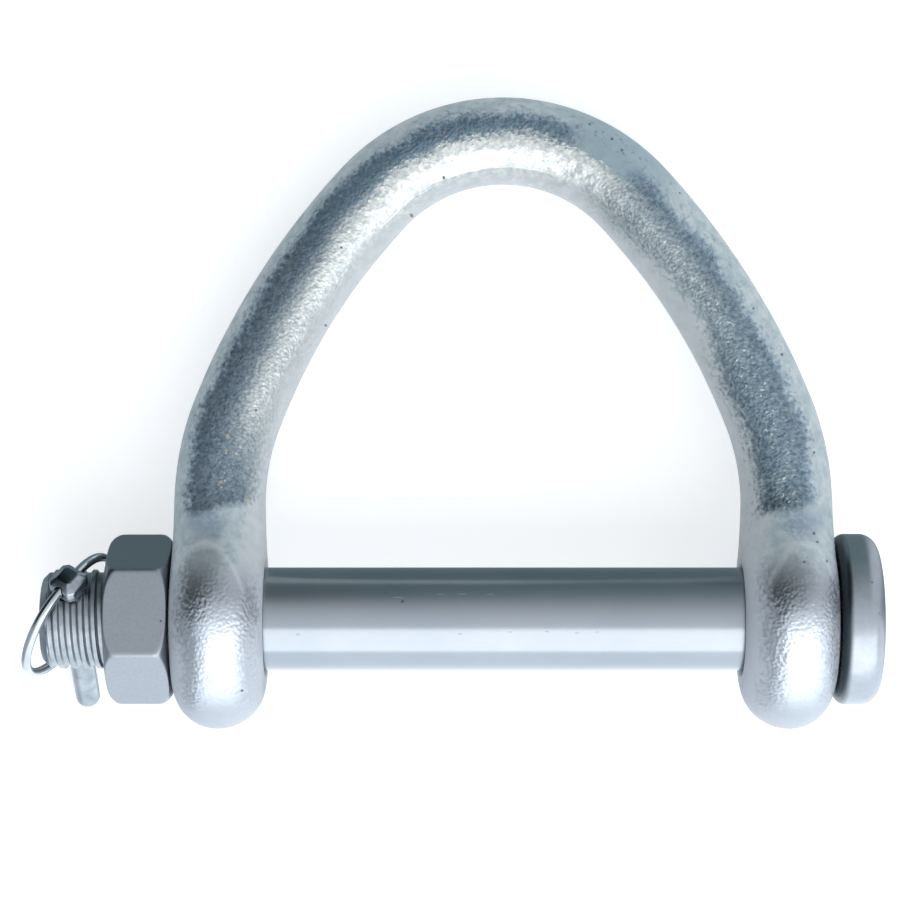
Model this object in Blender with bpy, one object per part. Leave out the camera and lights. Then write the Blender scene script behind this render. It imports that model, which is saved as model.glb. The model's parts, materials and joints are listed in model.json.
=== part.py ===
"""Wide bow shackle with a round headed safety bolt, a hexagon nut and a linch pin with a snap ring.

The shackle lies on a surface, on its two eyes and on the crown of its bow. Metres, +Z up.
Each piece is drawn in the shackle's own frame first: X runs along the bolt towards its head,
Y from the bolt towards the crown, Z out of the bow's plane, with the middle of the bolt at zero.
"""

import math

import bmesh
import bpy
from mathutils import Matrix, Vector

# Bow: a round bar bent to tangent arcs, with a rounded eye forged on each end
BAR_DIAMETER = 0.0213
INSIDE_WIDTH = 0.1171
CROWN_HEIGHT = 0.1160
CROWN_RADIUS = 0.0430
FLANK_RADIUS = 0.1727
SHOULDER_RADIUS = 0.0605
LEG_LENGTH = 0.0274
EYE_WALL = 0.0133
NECK_RADIUS = 0.018
HOLE_CHAMFER = 0.0007

# Bolt
BOLT_DIAMETER = 0.025
HOLE_CLEARANCE = 0.0005
THREAD_DIAMETER = 0.024
THREAD_INTO_EYE = 0.003
THREAD_CHAMFER = 0.0020
HEAD_DIAMETER = 0.0413
HEAD_THICKNESS = 0.0103
HEAD_FILLET = 0.0010
END_BEYOND_PIN = 0.0073

# Nut
NUT_ACROSS_FLATS = 0.036
NUT_THICKNESS = 0.0151
NUT_FACE_DIAMETER = 0.0350
NUT_CHAMFER_DEGREES = 30.0
NUT_TURN_DEGREES = 8.0
BORE_CHAMFER = 0.0010

# Linch pin: its shank leans back from the view, head up
PIN_DIAMETER = 0.006
PIN_REACH = 0.0234
PIN_LEAN_DEGREES = 39.5
PIN_HEAD_WIDTH = 0.0077
PIN_HEAD_LENGTH = 0.0052
PIN_HEAD_CORNER_CUT = 0.0012
PIN_HEAD_END_WIDTH = 0.0037
PIN_HEAD_SLOPE_LENGTH = 0.0017
PIN_HEAD_EDGE_CUT = 0.0005

# Snap ring: one bent wire, closed against the linch pin's shank
WIRE_DIAMETER = 0.0023
RING_ROOM = 0.00315
RING_CORNER_DEGREES = 41.0
RING_SWIVEL_DEGREES = 57.0
RING_END_GAP = 0.0010

# Fits
SEAT_GAP = 0.0003
CUT_MARGIN = 0.002

# Facets
BAR_SIDES = 24
ARC_STEP_DEGREES = 7.0
FLANK_STEP_DEGREES = 2.5
SHORTEST_BAR_STEP = 0.001
TURNED_SIDES = 56
RIM_STEP_DEGREES = 14.0
FILLET_STEP_DEGREES = 28.0
PIN_SIDES = 24
WIRE_STEP_DEGREES = 9.0
WIRE_RESOLUTION = 2
SHARP_ANGLE_DEGREES = 32.0
MERGE_DISTANCE = 1e-7

# What follows from the sizes above
BAR_RADIUS = BAR_DIAMETER / 2
BOLT_RADIUS = BOLT_DIAMETER / 2
THREAD_RADIUS = THREAD_DIAMETER / 2
HOLE_RADIUS = BOLT_RADIUS + HOLE_CLEARANCE
EYE_RADIUS = HOLE_RADIUS + EYE_WALL
EYE_CORE = EYE_RADIUS - BAR_RADIUS
LEG_X = INSIDE_WIDTH / 2 + BAR_RADIUS
EYE_FACE_X = LEG_X + BAR_RADIUS
HEAD_SEAT_X = EYE_FACE_X + SEAT_GAP
HEAD_FACE_X = HEAD_SEAT_X + HEAD_THICKNESS
NUT_SEAT_X = -EYE_FACE_X - SEAT_GAP
NUT_FACE_X = NUT_SEAT_X - NUT_THICKNESS
PIN_RADIUS = PIN_DIAMETER / 2
WIRE_RADIUS = WIRE_DIAMETER / 2
PIN_SEAT = THREAD_RADIUS + SEAT_GAP
RING_PIVOT = PIN_SEAT + PIN_HEAD_LENGTH / 2
RING_STRAIGHT = PIN_HEAD_WIDTH / 2 - WIRE_RADIUS / 2
RING_BEND = THREAD_RADIUS + WIRE_RADIUS + RING_ROOM
RING_CORNER = RING_BEND - RING_STRAIGHT / math.sin(math.radians(RING_CORNER_DEGREES))
RING_DROP = 2 * RING_BEND - RING_STRAIGHT * math.tan(math.radians(RING_CORNER_DEGREES / 2))
RING_CLOSED_ANGLE = math.asin((PIN_RADIUS + WIRE_RADIUS + SEAT_GAP) / RING_DROP)
LYING_TILT = math.asin((EYE_RADIUS - BAR_RADIUS) / CROWN_HEIGHT)


def arc_angles(start, end, step_degrees):
    """Angles from start to end, both included, no further apart than the step."""
    count = max(2, math.ceil(abs(math.degrees(end - start)) / step_degrees))
    return [start + (end - start) * i / count for i in range(count + 1)]


def finish_mesh(name, bm, colour, roughness, metallic):
    """Turns a finished bmesh into a smooth shaded object with its own material."""
    bmesh.ops.remove_doubles(bm, verts=bm.verts, dist=MERGE_DISTANCE)
    bmesh.ops.recalc_face_normals(bm, faces=bm.faces)
    mesh = bpy.data.meshes.new(name)
    bm.to_mesh(mesh)
    bm.free()
    mesh.shade_smooth()
    mesh.set_sharp_from_angle(angle=math.radians(SHARP_ANGLE_DEGREES))
    piece = bpy.data.objects.new(name, mesh)
    bpy.context.scene.collection.objects.link(piece)
    piece.data.materials.append(metal(name, colour, roughness, metallic))
    return piece


def metal(name, colour, roughness, metallic):
    material = bpy.data.materials.new(name)
    material.use_nodes = True
    shader = material.node_tree.nodes["Principled BSDF"]
    shader.inputs["Base Color"].default_value = (*colour, 1.0)
    shader.inputs["Roughness"].default_value = roughness
    shader.inputs["Metallic"].default_value = metallic
    return material


def turned_bmesh(profile, sides):
    """A body turned about X from a profile of (x, radius) points."""
    bm = bmesh.new()
    points = [bm.verts.new((x, 0.0, radius)) for x, radius in profile]
    edges = [bm.edges.new(pair) for pair in zip(points, points[1:])]
    bmesh.ops.spin(
        bm, geom=points + edges, cent=(0, 0, 0), axis=(1, 0, 0),
        angle=2 * math.pi, steps=sides, use_merge=True,
    )
    bmesh.ops.remove_doubles(bm, verts=bm.verts, dist=MERGE_DISTANCE)
    return bm


def cutter(name, bm, parent, matrix=Matrix()):
    """A closed shape that only cuts: it isn't a piece of the shackle."""
    bmesh.ops.recalc_face_normals(bm, faces=bm.faces)
    mesh = bpy.data.meshes.new(name)
    bm.to_mesh(mesh)
    bm.free()
    tool = bpy.data.objects.new(name, mesh)
    bpy.context.scene.collection.objects.link(tool)
    tool.parent = parent
    tool.matrix_local = matrix
    tool.hide_render = True
    tool.display_type = "WIRE"
    return tool


def boolean(piece, tool, operation):
    modifier = piece.modifiers.new(tool.name, "BOOLEAN")
    modifier.operation = operation
    modifier.solver = "EXACT"
    modifier.object = tool


def circle_centre_inside(first, first_radius, second, second_radius, radius):
    """Centre of the arc of this radius that both circles touch from inside.

    It lies to the right of the way from the first circle's centre to the second's.
    """
    reach_first = radius - first_radius
    reach_second = radius - second_radius
    apart = (second - first).length
    along = (reach_first**2 - reach_second**2 + apart**2) / (2 * apart)
    across = math.sqrt(reach_first**2 - along**2)
    forward = (second - first) / apart
    right = Vector((forward.y, -forward.x))
    return first + forward * along + right * across


def bow_line():
    """The bar's centre line on the +X side, from the bolt's axis up to the crown.

    Gives (point, outward normal, length so far) at each station above the leg's foot.
    """
    crown = Vector((0.0, CROWN_HEIGHT - CROWN_RADIUS))
    shoulder = Vector((LEG_X - SHOULDER_RADIUS, LEG_LENGTH))
    flank = circle_centre_inside(
        crown, CROWN_RADIUS, shoulder, SHOULDER_RADIUS, FLANK_RADIUS)
    to_crown = crown - flank
    to_shoulder = shoulder - flank
    high = math.atan2(to_crown.y, to_crown.x)
    low = math.atan2(to_shoulder.y, to_shoulder.x)
    arcs = (
        (shoulder, SHOULDER_RADIUS, 0.0, low, ARC_STEP_DEGREES),
        (flank, FLANK_RADIUS, low, high, FLANK_STEP_DEGREES),
        (crown, CROWN_RADIUS, high, math.pi / 2, ARC_STEP_DEGREES),
    )
    line = [(Vector((LEG_X, 0.0)), Vector((1.0, 0.0)), 0.0)]
    length = LEG_LENGTH
    for centre, radius, start, end, step_degrees in arcs:
        for angle in arc_angles(start, end, step_degrees):
            normal = Vector((math.cos(angle), math.sin(angle)))
            line.append((centre + normal * radius, normal, length + radius * (angle - start)))
        length += radius * (end - start)
    return line


def on_bow_line(line, length):
    """Point and outward normal at a length along the centre line, straight below its start."""
    if length <= 0.0:
        return Vector((LEG_X, length)), Vector((1.0, 0.0))
    for (p, n, a), (q, m, b) in zip(line, line[1:]):
        if a <= length <= b and b > a:
            share = (length - a) / (b - a)
            return p.lerp(q, share), n.lerp(m, share).normalized()
    return line[-1][0], line[-1][1]


def eye_outline():
    """Half the flat core of an eye and its neck, as (length, depth, turn) stations.

    Every surface of the eye lies one bar radius outside this core, so its rim is round. The
    turn is the direction in which the core faces there: it starts sideways on the bar, swings
    up round the neck's fillet and then down round the eye to its lowest point.
    """
    fillet = NECK_RADIUS + BAR_RADIUS
    reach = NECK_RADIUS + EYE_RADIUS
    neck_top = math.sqrt(reach**2 - fillet**2)
    meeting = math.asin(neck_top / reach)
    stations = []
    for turn in arc_angles(0.0, meeting, ARC_STEP_DEGREES):
        stations.append((neck_top - fillet * math.sin(turn), fillet - fillet * math.cos(turn), turn))
    for turn in arc_angles(meeting, -math.pi / 2, ARC_STEP_DEGREES)[1:]:
        stations.append((EYE_CORE * math.sin(turn), EYE_CORE * math.cos(turn), turn))
    return stations


def add_eye(bm, line, side):
    """The eye and neck on one side, open at the neck's top."""
    half = BAR_SIDES // 2
    rolls = [math.pi * (j / half - 0.5) for j in range(half + 1)]

    def vertex(length, depth, across):
        point, normal = on_bow_line(line, length)
        place = point + normal * across
        return bm.verts.new((side * place.x, place.y, depth))

    rows = []
    for length, depth, turn in eye_outline():
        row = []
        for face in (1.0, -1.0):
            row.append([
                vertex(
                    length + BAR_RADIUS * math.cos(roll) * math.sin(turn),
                    face * (depth + BAR_RADIUS * math.cos(roll) * math.cos(turn)),
                    BAR_RADIUS * math.sin(roll),
                )
                for roll in rolls
            ])
        rows.append(row)
    for (front, back), (next_front, next_back) in zip(rows, rows[1:]):
        for here, below in ((front, next_front), (back, next_back)):
            for j in range(half):
                bm.faces.new((here[j], here[j + 1], below[j + 1], below[j]))
        for j in (0, half):
            bm.faces.new((front[j], next_front[j], next_back[j], back[j]))


def add_bar(bm, line):
    """The round bar from one neck over the crown to the other."""
    start = eye_outline()[0][0]
    upper = [(p, n) for p, n, length in line if length > start + SHORTEST_BAR_STEP]
    right = [on_bow_line(line, start)] + upper
    left = [(Vector((-p.x, p.y)), Vector((-n.x, n.y))) for p, n in reversed(right[:-1])]
    rings = []
    for point, normal in right + left:
        ring = []
        for j in range(BAR_SIDES):
            roll = 2 * math.pi * j / BAR_SIDES
            place = point + normal * BAR_RADIUS * math.cos(roll)
            ring.append(bm.verts.new((place.x, place.y, BAR_RADIUS * math.sin(roll))))
        rings.append(ring)
    for here, there in zip(rings, rings[1:]):
        for j in range(BAR_SIDES):
            k = (j + 1) % BAR_SIDES
            bm.faces.new((here[j], here[k], there[k], there[j]))


def bolt_hole_profile():
    """Both eyes' holes as one bar, wider by the chamfer at each eye face."""
    wide = HOLE_RADIUS + HOLE_CHAMFER
    profile = [(EYE_FACE_X + CUT_MARGIN, 0.0), (EYE_FACE_X + CUT_MARGIN, wide + CUT_MARGIN)]
    inner_x = INSIDE_WIDTH / 2
    half = [
        (EYE_FACE_X, wide),
        (EYE_FACE_X - HOLE_CHAMFER, HOLE_RADIUS),
        (inner_x + HOLE_CHAMFER, HOLE_RADIUS),
        (inner_x, wide),
        (inner_x - CUT_MARGIN, wide + CUT_MARGIN),
    ]
    profile += half
    profile += [(-x, radius) for x, radius in reversed(half)]
    profile += [(-EYE_FACE_X - CUT_MARGIN, wide + CUT_MARGIN), (-EYE_FACE_X - CUT_MARGIN, 0.0)]
    return profile


def make_bow(frame):
    line = bow_line()
    bm = bmesh.new()
    add_bar(bm, line)
    for side in (1.0, -1.0):
        add_eye(bm, line, side)
    bow = finish_mesh("bow", bm, (0.53, 0.58, 0.62), 0.42, 0.85)
    bow.parent = frame
    holes = cutter("bolt_hole_cutter", turned_bmesh(bolt_hole_profile(), TURNED_SIDES), frame)
    boolean(bow, holes, "DIFFERENCE")
    return bow


def head_profile():
    """From the head's flat face round its full rim to the fillet under it."""
    rim = HEAD_THICKNESS / 2
    middle = HEAD_SEAT_X + rim
    flat = HEAD_DIAMETER / 2 - rim
    profile = [(HEAD_FACE_X, 0.0)]
    for turn in arc_angles(0.0, math.pi, RIM_STEP_DEGREES):
        profile.append((middle + rim * math.cos(turn), flat + rim * math.sin(turn)))
    for turn in arc_angles(0.0, math.pi / 2, FILLET_STEP_DEGREES):
        profile.append((
            HEAD_SEAT_X - HEAD_FILLET * (1 - math.cos(turn)),
            BOLT_RADIUS + HEAD_FILLET * (1 - math.sin(turn)),
        ))
    return profile


def make_bolt(frame, pin_x):
    thread_start = -EYE_FACE_X + THREAD_INTO_EYE
    end = pin_x - END_BEYOND_PIN
    step = BOLT_RADIUS - THREAD_RADIUS
    profile = head_profile() + [
        (thread_start + step, BOLT_RADIUS),
        (thread_start, THREAD_RADIUS),
        (end + THREAD_CHAMFER, THREAD_RADIUS),
        (end, THREAD_RADIUS - THREAD_CHAMFER),
        (end, 0.0),
    ]
    bolt = finish_mesh("bolt", turned_bmesh(profile, TURNED_SIDES), (0.50, 0.53, 0.57), 0.30, 0.9)
    bolt.parent = frame
    return bolt


def make_nut(bolt):
    corner = NUT_ACROSS_FLATS / math.sqrt(3)
    bm = bmesh.new()
    ring = []
    for i in range(6):
        turn = math.radians(60 * i + 30)
        ring.append(bm.verts.new((0.0, corner * math.sin(turn), corner * math.cos(turn))))
    face = bm.faces.new(ring)
    drawn = bmesh.ops.extrude_face_region(bm, geom=[face])
    raised = [item for item in drawn["geom"] if isinstance(item, bmesh.types.BMVert)]
    bmesh.ops.translate(bm, verts=raised, vec=(-NUT_THICKNESS, 0.0, 0.0))
    nut = finish_mesh("nut", bm, (0.46, 0.49, 0.53), 0.33, 0.9)
    nut.parent = bolt
    nut.location = (NUT_SEAT_X, 0.0, 0.0)
    nut.rotation_euler = (-math.radians(NUT_TURN_DEGREES), 0.0, 0.0)

    slope = math.tan(math.radians(NUT_CHAMFER_DEGREES))
    wide = corner + CUT_MARGIN
    drop = (wide - NUT_FACE_DIAMETER / 2) * slope
    narrow = wide - (drop + CUT_MARGIN) / slope
    rounding = cutter("nut_chamfer_cutter", turned_bmesh([
        (CUT_MARGIN, 0.0),
        (CUT_MARGIN, narrow),
        (-drop, wide),
        (drop - NUT_THICKNESS, wide),
        (-NUT_THICKNESS - CUT_MARGIN, narrow),
        (-NUT_THICKNESS - CUT_MARGIN, 0.0),
    ], TURNED_SIDES), nut)
    boolean(nut, rounding, "INTERSECT")

    bore = THREAD_RADIUS + SEAT_GAP
    mouth = bore + BORE_CHAMFER + CUT_MARGIN
    bore_cutter = cutter("nut_bore_cutter", turned_bmesh([
        (CUT_MARGIN, 0.0),
        (CUT_MARGIN, mouth),
        (-BORE_CHAMFER, bore),
        (BORE_CHAMFER - NUT_THICKNESS, bore),
        (-NUT_THICKNESS - CUT_MARGIN, mouth),
        (-NUT_THICKNESS - CUT_MARGIN, 0.0),
    ], TURNED_SIDES), nut)
    boolean(nut, bore_cutter, "DIFFERENCE")
    return nut


def pin_axes():
    """The linch pin's own axes: X along the ring's pivot, Z out of its head."""
    lean = math.radians(PIN_LEAN_DEGREES)
    swivel = math.radians(RING_SWIVEL_DEGREES)
    head = Vector((0.0, math.sin(lean), math.cos(lean)))
    behind = Vector((0.0, math.cos(lean), -math.sin(lean)))
    pivot = Vector((1.0, 0.0, 0.0)) * math.cos(swivel) + behind * math.sin(swivel)
    return Matrix((pivot, head.cross(pivot), head)).transposed()


def pin_matrix(pin_x):
    return Matrix.Translation((pin_x, 0.0, 0.0)) @ pin_axes().to_4x4()


def turned_about_z(profile, sides):
    """A body turned about Z from a profile of (z, radius) points."""
    bm = turned_bmesh(profile, sides)
    bmesh.ops.rotate(bm, verts=bm.verts, cent=(0, 0, 0), matrix=Matrix.Rotation(-math.pi / 2, 3, "Y"))
    return bm


def cut_square(width, corner_cut):
    """Corners of a square with its own corners cut off, anticlockwise."""
    outer = width / 2
    inner = outer - corner_cut
    return [
        (outer, -inner), (outer, inner), (inner, outer), (-inner, outer),
        (-outer, inner), (-outer, -inner), (-inner, -outer), (inner, -outer),
    ]


def pin_head_bmesh():
    """The linch pin's head: a square column with cut corners, sloping in to a small flat end."""
    edge_width = PIN_HEAD_WIDTH - 2 * PIN_HEAD_EDGE_CUT
    top = PIN_SEAT + PIN_HEAD_LENGTH
    levels = (
        (PIN_SEAT, edge_width, PIN_HEAD_CORNER_CUT),
        (PIN_SEAT + PIN_HEAD_EDGE_CUT, PIN_HEAD_WIDTH, PIN_HEAD_CORNER_CUT),
        (top - PIN_HEAD_SLOPE_LENGTH, PIN_HEAD_WIDTH, PIN_HEAD_CORNER_CUT),
        (top, PIN_HEAD_END_WIDTH, PIN_HEAD_EDGE_CUT),
    )
    bm = bmesh.new()
    loops = [
        [bm.verts.new((x, y, z)) for x, y in cut_square(width, corner_cut)]
        for z, width, corner_cut in levels
    ]
    for lower, upper in zip(loops, loops[1:]):
        for i, corner in enumerate(lower):
            j = (i + 1) % len(lower)
            bm.faces.new((corner, lower[j], upper[j], upper[i]))
    bm.faces.new(loops[0][::-1])
    bm.faces.new(loops[-1])
    return bm


def make_linch_pin(bolt, pin_x):
    tip = THREAD_RADIUS + PIN_REACH
    inside_head = PIN_SEAT + PIN_HEAD_EDGE_CUT
    profile = [(inside_head, 0.0), (inside_head, PIN_RADIUS)]
    for turn in arc_angles(0.0, math.pi / 2, RIM_STEP_DEGREES):
        profile.append((
            PIN_RADIUS - tip - PIN_RADIUS * math.sin(turn),
            PIN_RADIUS * math.cos(turn),
        ))
    pin = finish_mesh("linch_pin", turned_about_z(profile, PIN_SIDES), (0.50, 0.53, 0.55), 0.28, 0.9)
    pin.parent = bolt
    pin.matrix_local = pin_matrix(pin_x)

    boolean(pin, cutter("linch_pin_head", pin_head_bmesh(), pin), "UNION")

    hole = WIRE_RADIUS + SEAT_GAP
    half = PIN_HEAD_WIDTH
    ring_hole = turned_bmesh([(half, 0.0), (half, hole), (-half, hole), (-half, 0.0)], PIN_SIDES)
    place = Matrix.Translation((0.0, 0.0, RING_PIVOT))
    boolean(pin, cutter("ring_hole_cutter", ring_hole, pin, place), "DIFFERENCE")
    return pin


def cut_pin_hole(bolt, pin_x):
    """The hole across the bolt's threaded end, with room for the linch pin."""
    hole = PIN_RADIUS + SEAT_GAP
    half = THREAD_RADIUS + CUT_MARGIN
    bm = turned_about_z([(half, 0.0), (half, hole), (-half, hole), (-half, 0.0)], PIN_SIDES)
    boolean(bolt, cutter("pin_hole_cutter", bm, bolt, pin_matrix(pin_x)), "DIFFERENCE")


def ring_half():
    """Half the ring's wire as (across, down) points: straight in the head, corner, wide bend."""
    corner_turn = math.radians(RING_CORNER_DEGREES)
    points = [(RING_END_GAP / 2, 0.0)]
    for turn in arc_angles(0.0, corner_turn, WIRE_STEP_DEGREES):
        points.append((
            RING_STRAIGHT + RING_CORNER * math.sin(turn),
            RING_CORNER * (1 - math.cos(turn)),
        ))
    for turn in arc_angles(corner_turn, math.pi, WIRE_STEP_DEGREES)[1:]:
        points.append((RING_BEND * math.sin(turn), RING_DROP - RING_BEND * (1 + math.cos(turn))))
    return points


def ring_points():
    """The ring's wire in the linch pin's axes, closed against the shank."""
    half = ring_half()
    outline = half + [(-across, down) for across, down in reversed(half[:-1])]
    swing = Matrix.Rotation(RING_CLOSED_ANGLE, 3, "X")
    return [swing @ Vector((across, 0.0, -down)) for across, down in outline]


def pin_place_x():
    """Where the linch pin crosses the bolt, so that its closed ring just clears the nut."""
    axes = pin_axes()
    reach = max((axes @ point).x for point in ring_points())
    return NUT_FACE_X - SEAT_GAP - WIRE_RADIUS - reach


def make_ring(pin):
    curve = bpy.data.curves.new("linch_ring", "CURVE")
    curve.dimensions = "3D"
    curve.bevel_depth = WIRE_RADIUS
    curve.bevel_resolution = WIRE_RESOLUTION
    curve.use_fill_caps = True
    points = ring_points()
    spline = curve.splines.new("POLY")
    spline.points.add(len(points) - 1)
    for place, point in zip(spline.points, points):
        place.co = (*point, 1.0)
    spline.use_smooth = True
    curve.materials.append(metal("linch_ring", (0.62, 0.64, 0.66), 0.18, 1.0))
    ring = bpy.data.objects.new("linch_ring", curve)
    bpy.context.scene.collection.objects.link(ring)
    ring.parent = pin
    ring.location = (0.0, 0.0, RING_PIVOT)
    return ring


def centre_over_origin(frame, pieces):
    """Slides the lying shackle so that the middle of its outer box is over the origin."""
    bpy.context.view_layer.update()
    graph = bpy.context.evaluated_depsgraph_get()
    places = []
    for piece in pieces:
        shown = piece.evaluated_get(graph)
        mesh = shown.to_mesh()
        places += [shown.matrix_world @ vertex.co for vertex in mesh.vertices]
        shown.to_mesh_clear()
    for axis in (0, 1):
        values = [place[axis] for place in places]
        frame.location[axis] -= (min(values) + max(values)) / 2


def main():
    for old in list(bpy.data.objects):
        bpy.data.objects.remove(old, do_unlink=True)
    frame = bpy.data.objects.new("lying_frame", None)
    bpy.context.scene.collection.objects.link(frame)
    frame.location = (0.0, 0.0, EYE_RADIUS)
    frame.rotation_euler = (-LYING_TILT, 0.0, 0.0)
    pin_x = pin_place_x()
    bow = make_bow(frame)
    bolt = make_bolt(frame, pin_x)
    nut = make_nut(bolt)
    pin = make_linch_pin(bolt, pin_x)
    cut_pin_hole(bolt, pin_x)
    ring = make_ring(pin)
    centre_over_origin(frame, [bow, bolt, nut, pin, ring])


main()
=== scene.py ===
"""Looks of a galvanised bow shackle: its forged bow, threaded bolt, nut, linch pin and snap ring."""

import json
import math
from types import SimpleNamespace

import bmesh
import bpy
from mathutils import Matrix, Vector


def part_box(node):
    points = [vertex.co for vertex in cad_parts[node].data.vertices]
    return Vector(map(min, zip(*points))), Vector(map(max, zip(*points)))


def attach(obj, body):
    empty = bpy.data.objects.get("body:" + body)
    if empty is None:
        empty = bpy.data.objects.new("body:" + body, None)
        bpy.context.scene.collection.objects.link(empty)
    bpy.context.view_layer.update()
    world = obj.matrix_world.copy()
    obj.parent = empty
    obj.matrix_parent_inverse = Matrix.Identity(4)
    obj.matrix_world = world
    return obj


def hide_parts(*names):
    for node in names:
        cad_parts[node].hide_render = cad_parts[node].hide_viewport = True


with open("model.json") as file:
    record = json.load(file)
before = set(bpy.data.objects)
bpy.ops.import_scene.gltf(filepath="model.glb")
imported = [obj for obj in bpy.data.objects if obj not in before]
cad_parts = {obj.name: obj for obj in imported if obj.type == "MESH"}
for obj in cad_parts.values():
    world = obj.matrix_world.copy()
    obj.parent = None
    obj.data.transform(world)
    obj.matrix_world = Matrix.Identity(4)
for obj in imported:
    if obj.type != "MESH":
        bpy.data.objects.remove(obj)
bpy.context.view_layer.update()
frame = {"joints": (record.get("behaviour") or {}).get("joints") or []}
joints = {joint["name"]: joint for joint in frame["joints"]}

# Bow, in metres, as its solid has it
BAR_RADIUS = 0.01065
INSIDE_WIDTH = 0.1171
CROWN_HEIGHT = 0.1160
CROWN_RADIUS = 0.0430
FLANK_RADIUS = 0.1727
SHOULDER_RADIUS = 0.0605
LEG_LENGTH = 0.0274
NECK_RADIUS = 0.018
HOLE_RADIUS = 0.0130
HOLE_CHAMFER = 0.0007

# Bolt
BOLT_RADIUS = 0.0125
THREAD_RADIUS = 0.0120
THREAD_PITCH = 0.0030
THREAD_DEPTH = 0.0007
THREAD_CREST_SHARE = 0.26
THREAD_ROOT_SHARE = 0.26
THREAD_INTO_EYE = 0.003
THREAD_CHAMFER = 0.0020
HEAD_THICKNESS = 0.0103
HEAD_RADIUS = 0.02065
HEAD_OUTER_ROUNDING = 0.0042
HEAD_UNDER_ROUNDING = 0.0025
HEAD_FILLET = 0.0010

# Nut
NUT_ACROSS_FLATS = 0.036
NUT_THICKNESS = 0.0151
NUT_FACE_RADIUS = 0.0175
NUT_CHAMFER_DEPTH = 0.0024
NUT_CHAMFER_CURVE = 2.3
NUT_BORE_CHAMFER = 0.0010
NUT_ROUNDING = 0.0009
NUT_END_EASE = 0.00002
NUT_TURN_DEGREES = 8.0

# Linch pin and its ring
PIN_RADIUS = 0.003
PIN_REACH = 0.0234
TIP_EASE = 0.00003
PIN_HEAD_WIDTH = 0.0077
PIN_HEAD_LENGTH = 0.0052
PIN_HEAD_CORNER_CUT = 0.0012
PIN_HEAD_END_WIDTH = 0.0037
PIN_HEAD_SLOPE_LENGTH = 0.0017
PIN_HEAD_EDGE_CUT = 0.0005
PIN_HEAD_ROUNDING = 0.00032
PIN_HEAD_ROUNDED_FROM_DEGREES = 15.0
WIRE_RADIUS = 0.00115
RING_ROOM = 0.00315
RING_CORNER_DEGREES = 41.0
RING_END_GAP = 0.0010

# The legs widen inwards towards the eyes, which hang a little lower than round
LEG_WIDENING = 0.00095
WIDENING_START = 0.095
WIDENING_END = 0.025
EYE_STRETCH = 1.015

# Gaps, margins and limits
SEAT_GAP = 0.0003
CUT_MARGIN = 0.002
MERGE_DISTANCE = 1e-7
NEAR_AXIS = 1e-6
LEAST_FACING = 0.05
SHARP_EDGE_DEGREES = 40.0
SHARP_PIN_EDGE_DEGREES = 35.0

# What follows from the sizes and the frame
BOLT_PLACE = Vector(joints["bolt_turn"]["pos_m"])
EYE_RADIUS = BOLT_PLACE.z
EYE_CORE = EYE_RADIUS - BAR_RADIUS
LYING_TILT = math.asin(EYE_CORE / CROWN_HEIGHT)
LYING = Matrix.Translation(BOLT_PLACE) @ Matrix.Rotation(-LYING_TILT, 4, "X")
LEG_X = INSIDE_WIDTH / 2 + BAR_RADIUS
EYE_FACE_X = LEG_X + BAR_RADIUS
HEAD_FACE_X = EYE_FACE_X + SEAT_GAP + HEAD_THICKNESS
NUT_SEAT_X = joints["nut_turn"]["pos_m"][0] - BOLT_PLACE.x
BOLT_END_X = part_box("bolt")[0].x - BOLT_PLACE.x
PIN_PLACE = Vector(joints["pin_swivel"]["pos_m"])
PIN_AXIS = Vector(joints["pin_swivel"]["axis"]).normalized()
RING_PLACE = Vector(joints["ring_flip"]["pos_m"])
RING_AXIS = Vector(joints["ring_flip"]["axis"]).normalized()
PIN_SEAT = THREAD_RADIUS + SEAT_GAP

# Fineness of the meshes
BAR_SIDES = 116
STATION_STEP = 0.00060
FACE_RINGS = 6
HOLE_RINGS = 10
TURNED_SIDES = 144
HEAD_FACE_RINGS = 12
HEAD_RIM_RINGS = 24
HEAD_UNDER_RINGS = 18
FILLET_RINGS = 6
SHANK_RINGS = 60
CHAMFER_RINGS = 12
BOLT_END_RINGS = 10
THREAD_STEP = 0.00011
NUT_SIDES = 240
NUT_FACE_RINGS = 6
NUT_SIDE_RINGS = 110
NUT_BORE_RINGS = 40
PIN_SIDES = 48
PIN_RINGS = 30
PIN_TIP_RINGS = 10
PIN_HEAD_EDGE_RINGS = 3
WIRE_SIDES = 24
WIRE_STEP = 0.0005
RING_STRAIGHT_STEPS = 6


# Helpers for node trees

FLOAT = "NodeSocketFloat"
COLOUR = "NodeSocketColor"
VECTOR = "NodeSocketVector"
GEOMETRY = "NodeSocketGeometry"
MATERIAL = "NodeSocketMaterial"


def feed(tree, socket, value):
    """Links an output into a socket, or sets the socket's value. Colours come without their alpha."""
    if isinstance(value, bpy.types.NodeSocket):
        tree.links.new(value, socket)
    elif socket.type == "RGBA":
        socket.default_value = (*value, 1.0)
    else:
        socket.default_value = value


def set_inputs(tree, node, inputs):
    for key, value in inputs.items():
        feed(tree, node.inputs[key], value)


def add(tree, kind, inputs=None, **settings):
    """A node with its settings, and with values or links put into the inputs that are named."""
    node = tree.nodes.new(kind)
    for name, value in settings.items():
        setattr(node, name, value)
    set_inputs(tree, node, inputs or {})
    return node


def maths(tree, operation, *values, clamp=False):
    """The result of one Math node."""
    node = add(tree, "ShaderNodeMath", dict(enumerate(values)), operation=operation, use_clamp=clamp)
    return node.outputs[0]


def times(tree, *values):
    """The product of the values, or the value itself where there is only one."""
    product, *others = values
    for value in others:
        product = maths(tree, "MULTIPLY", product, value)
    return product


def times_plus(tree, value, factor, more):
    return maths(tree, "MULTIPLY_ADD", value, factor, more)


def plus(tree, first, second):
    return maths(tree, "ADD", first, second)


def minus(tree, first, second):
    return maths(tree, "SUBTRACT", first, second)


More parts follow.
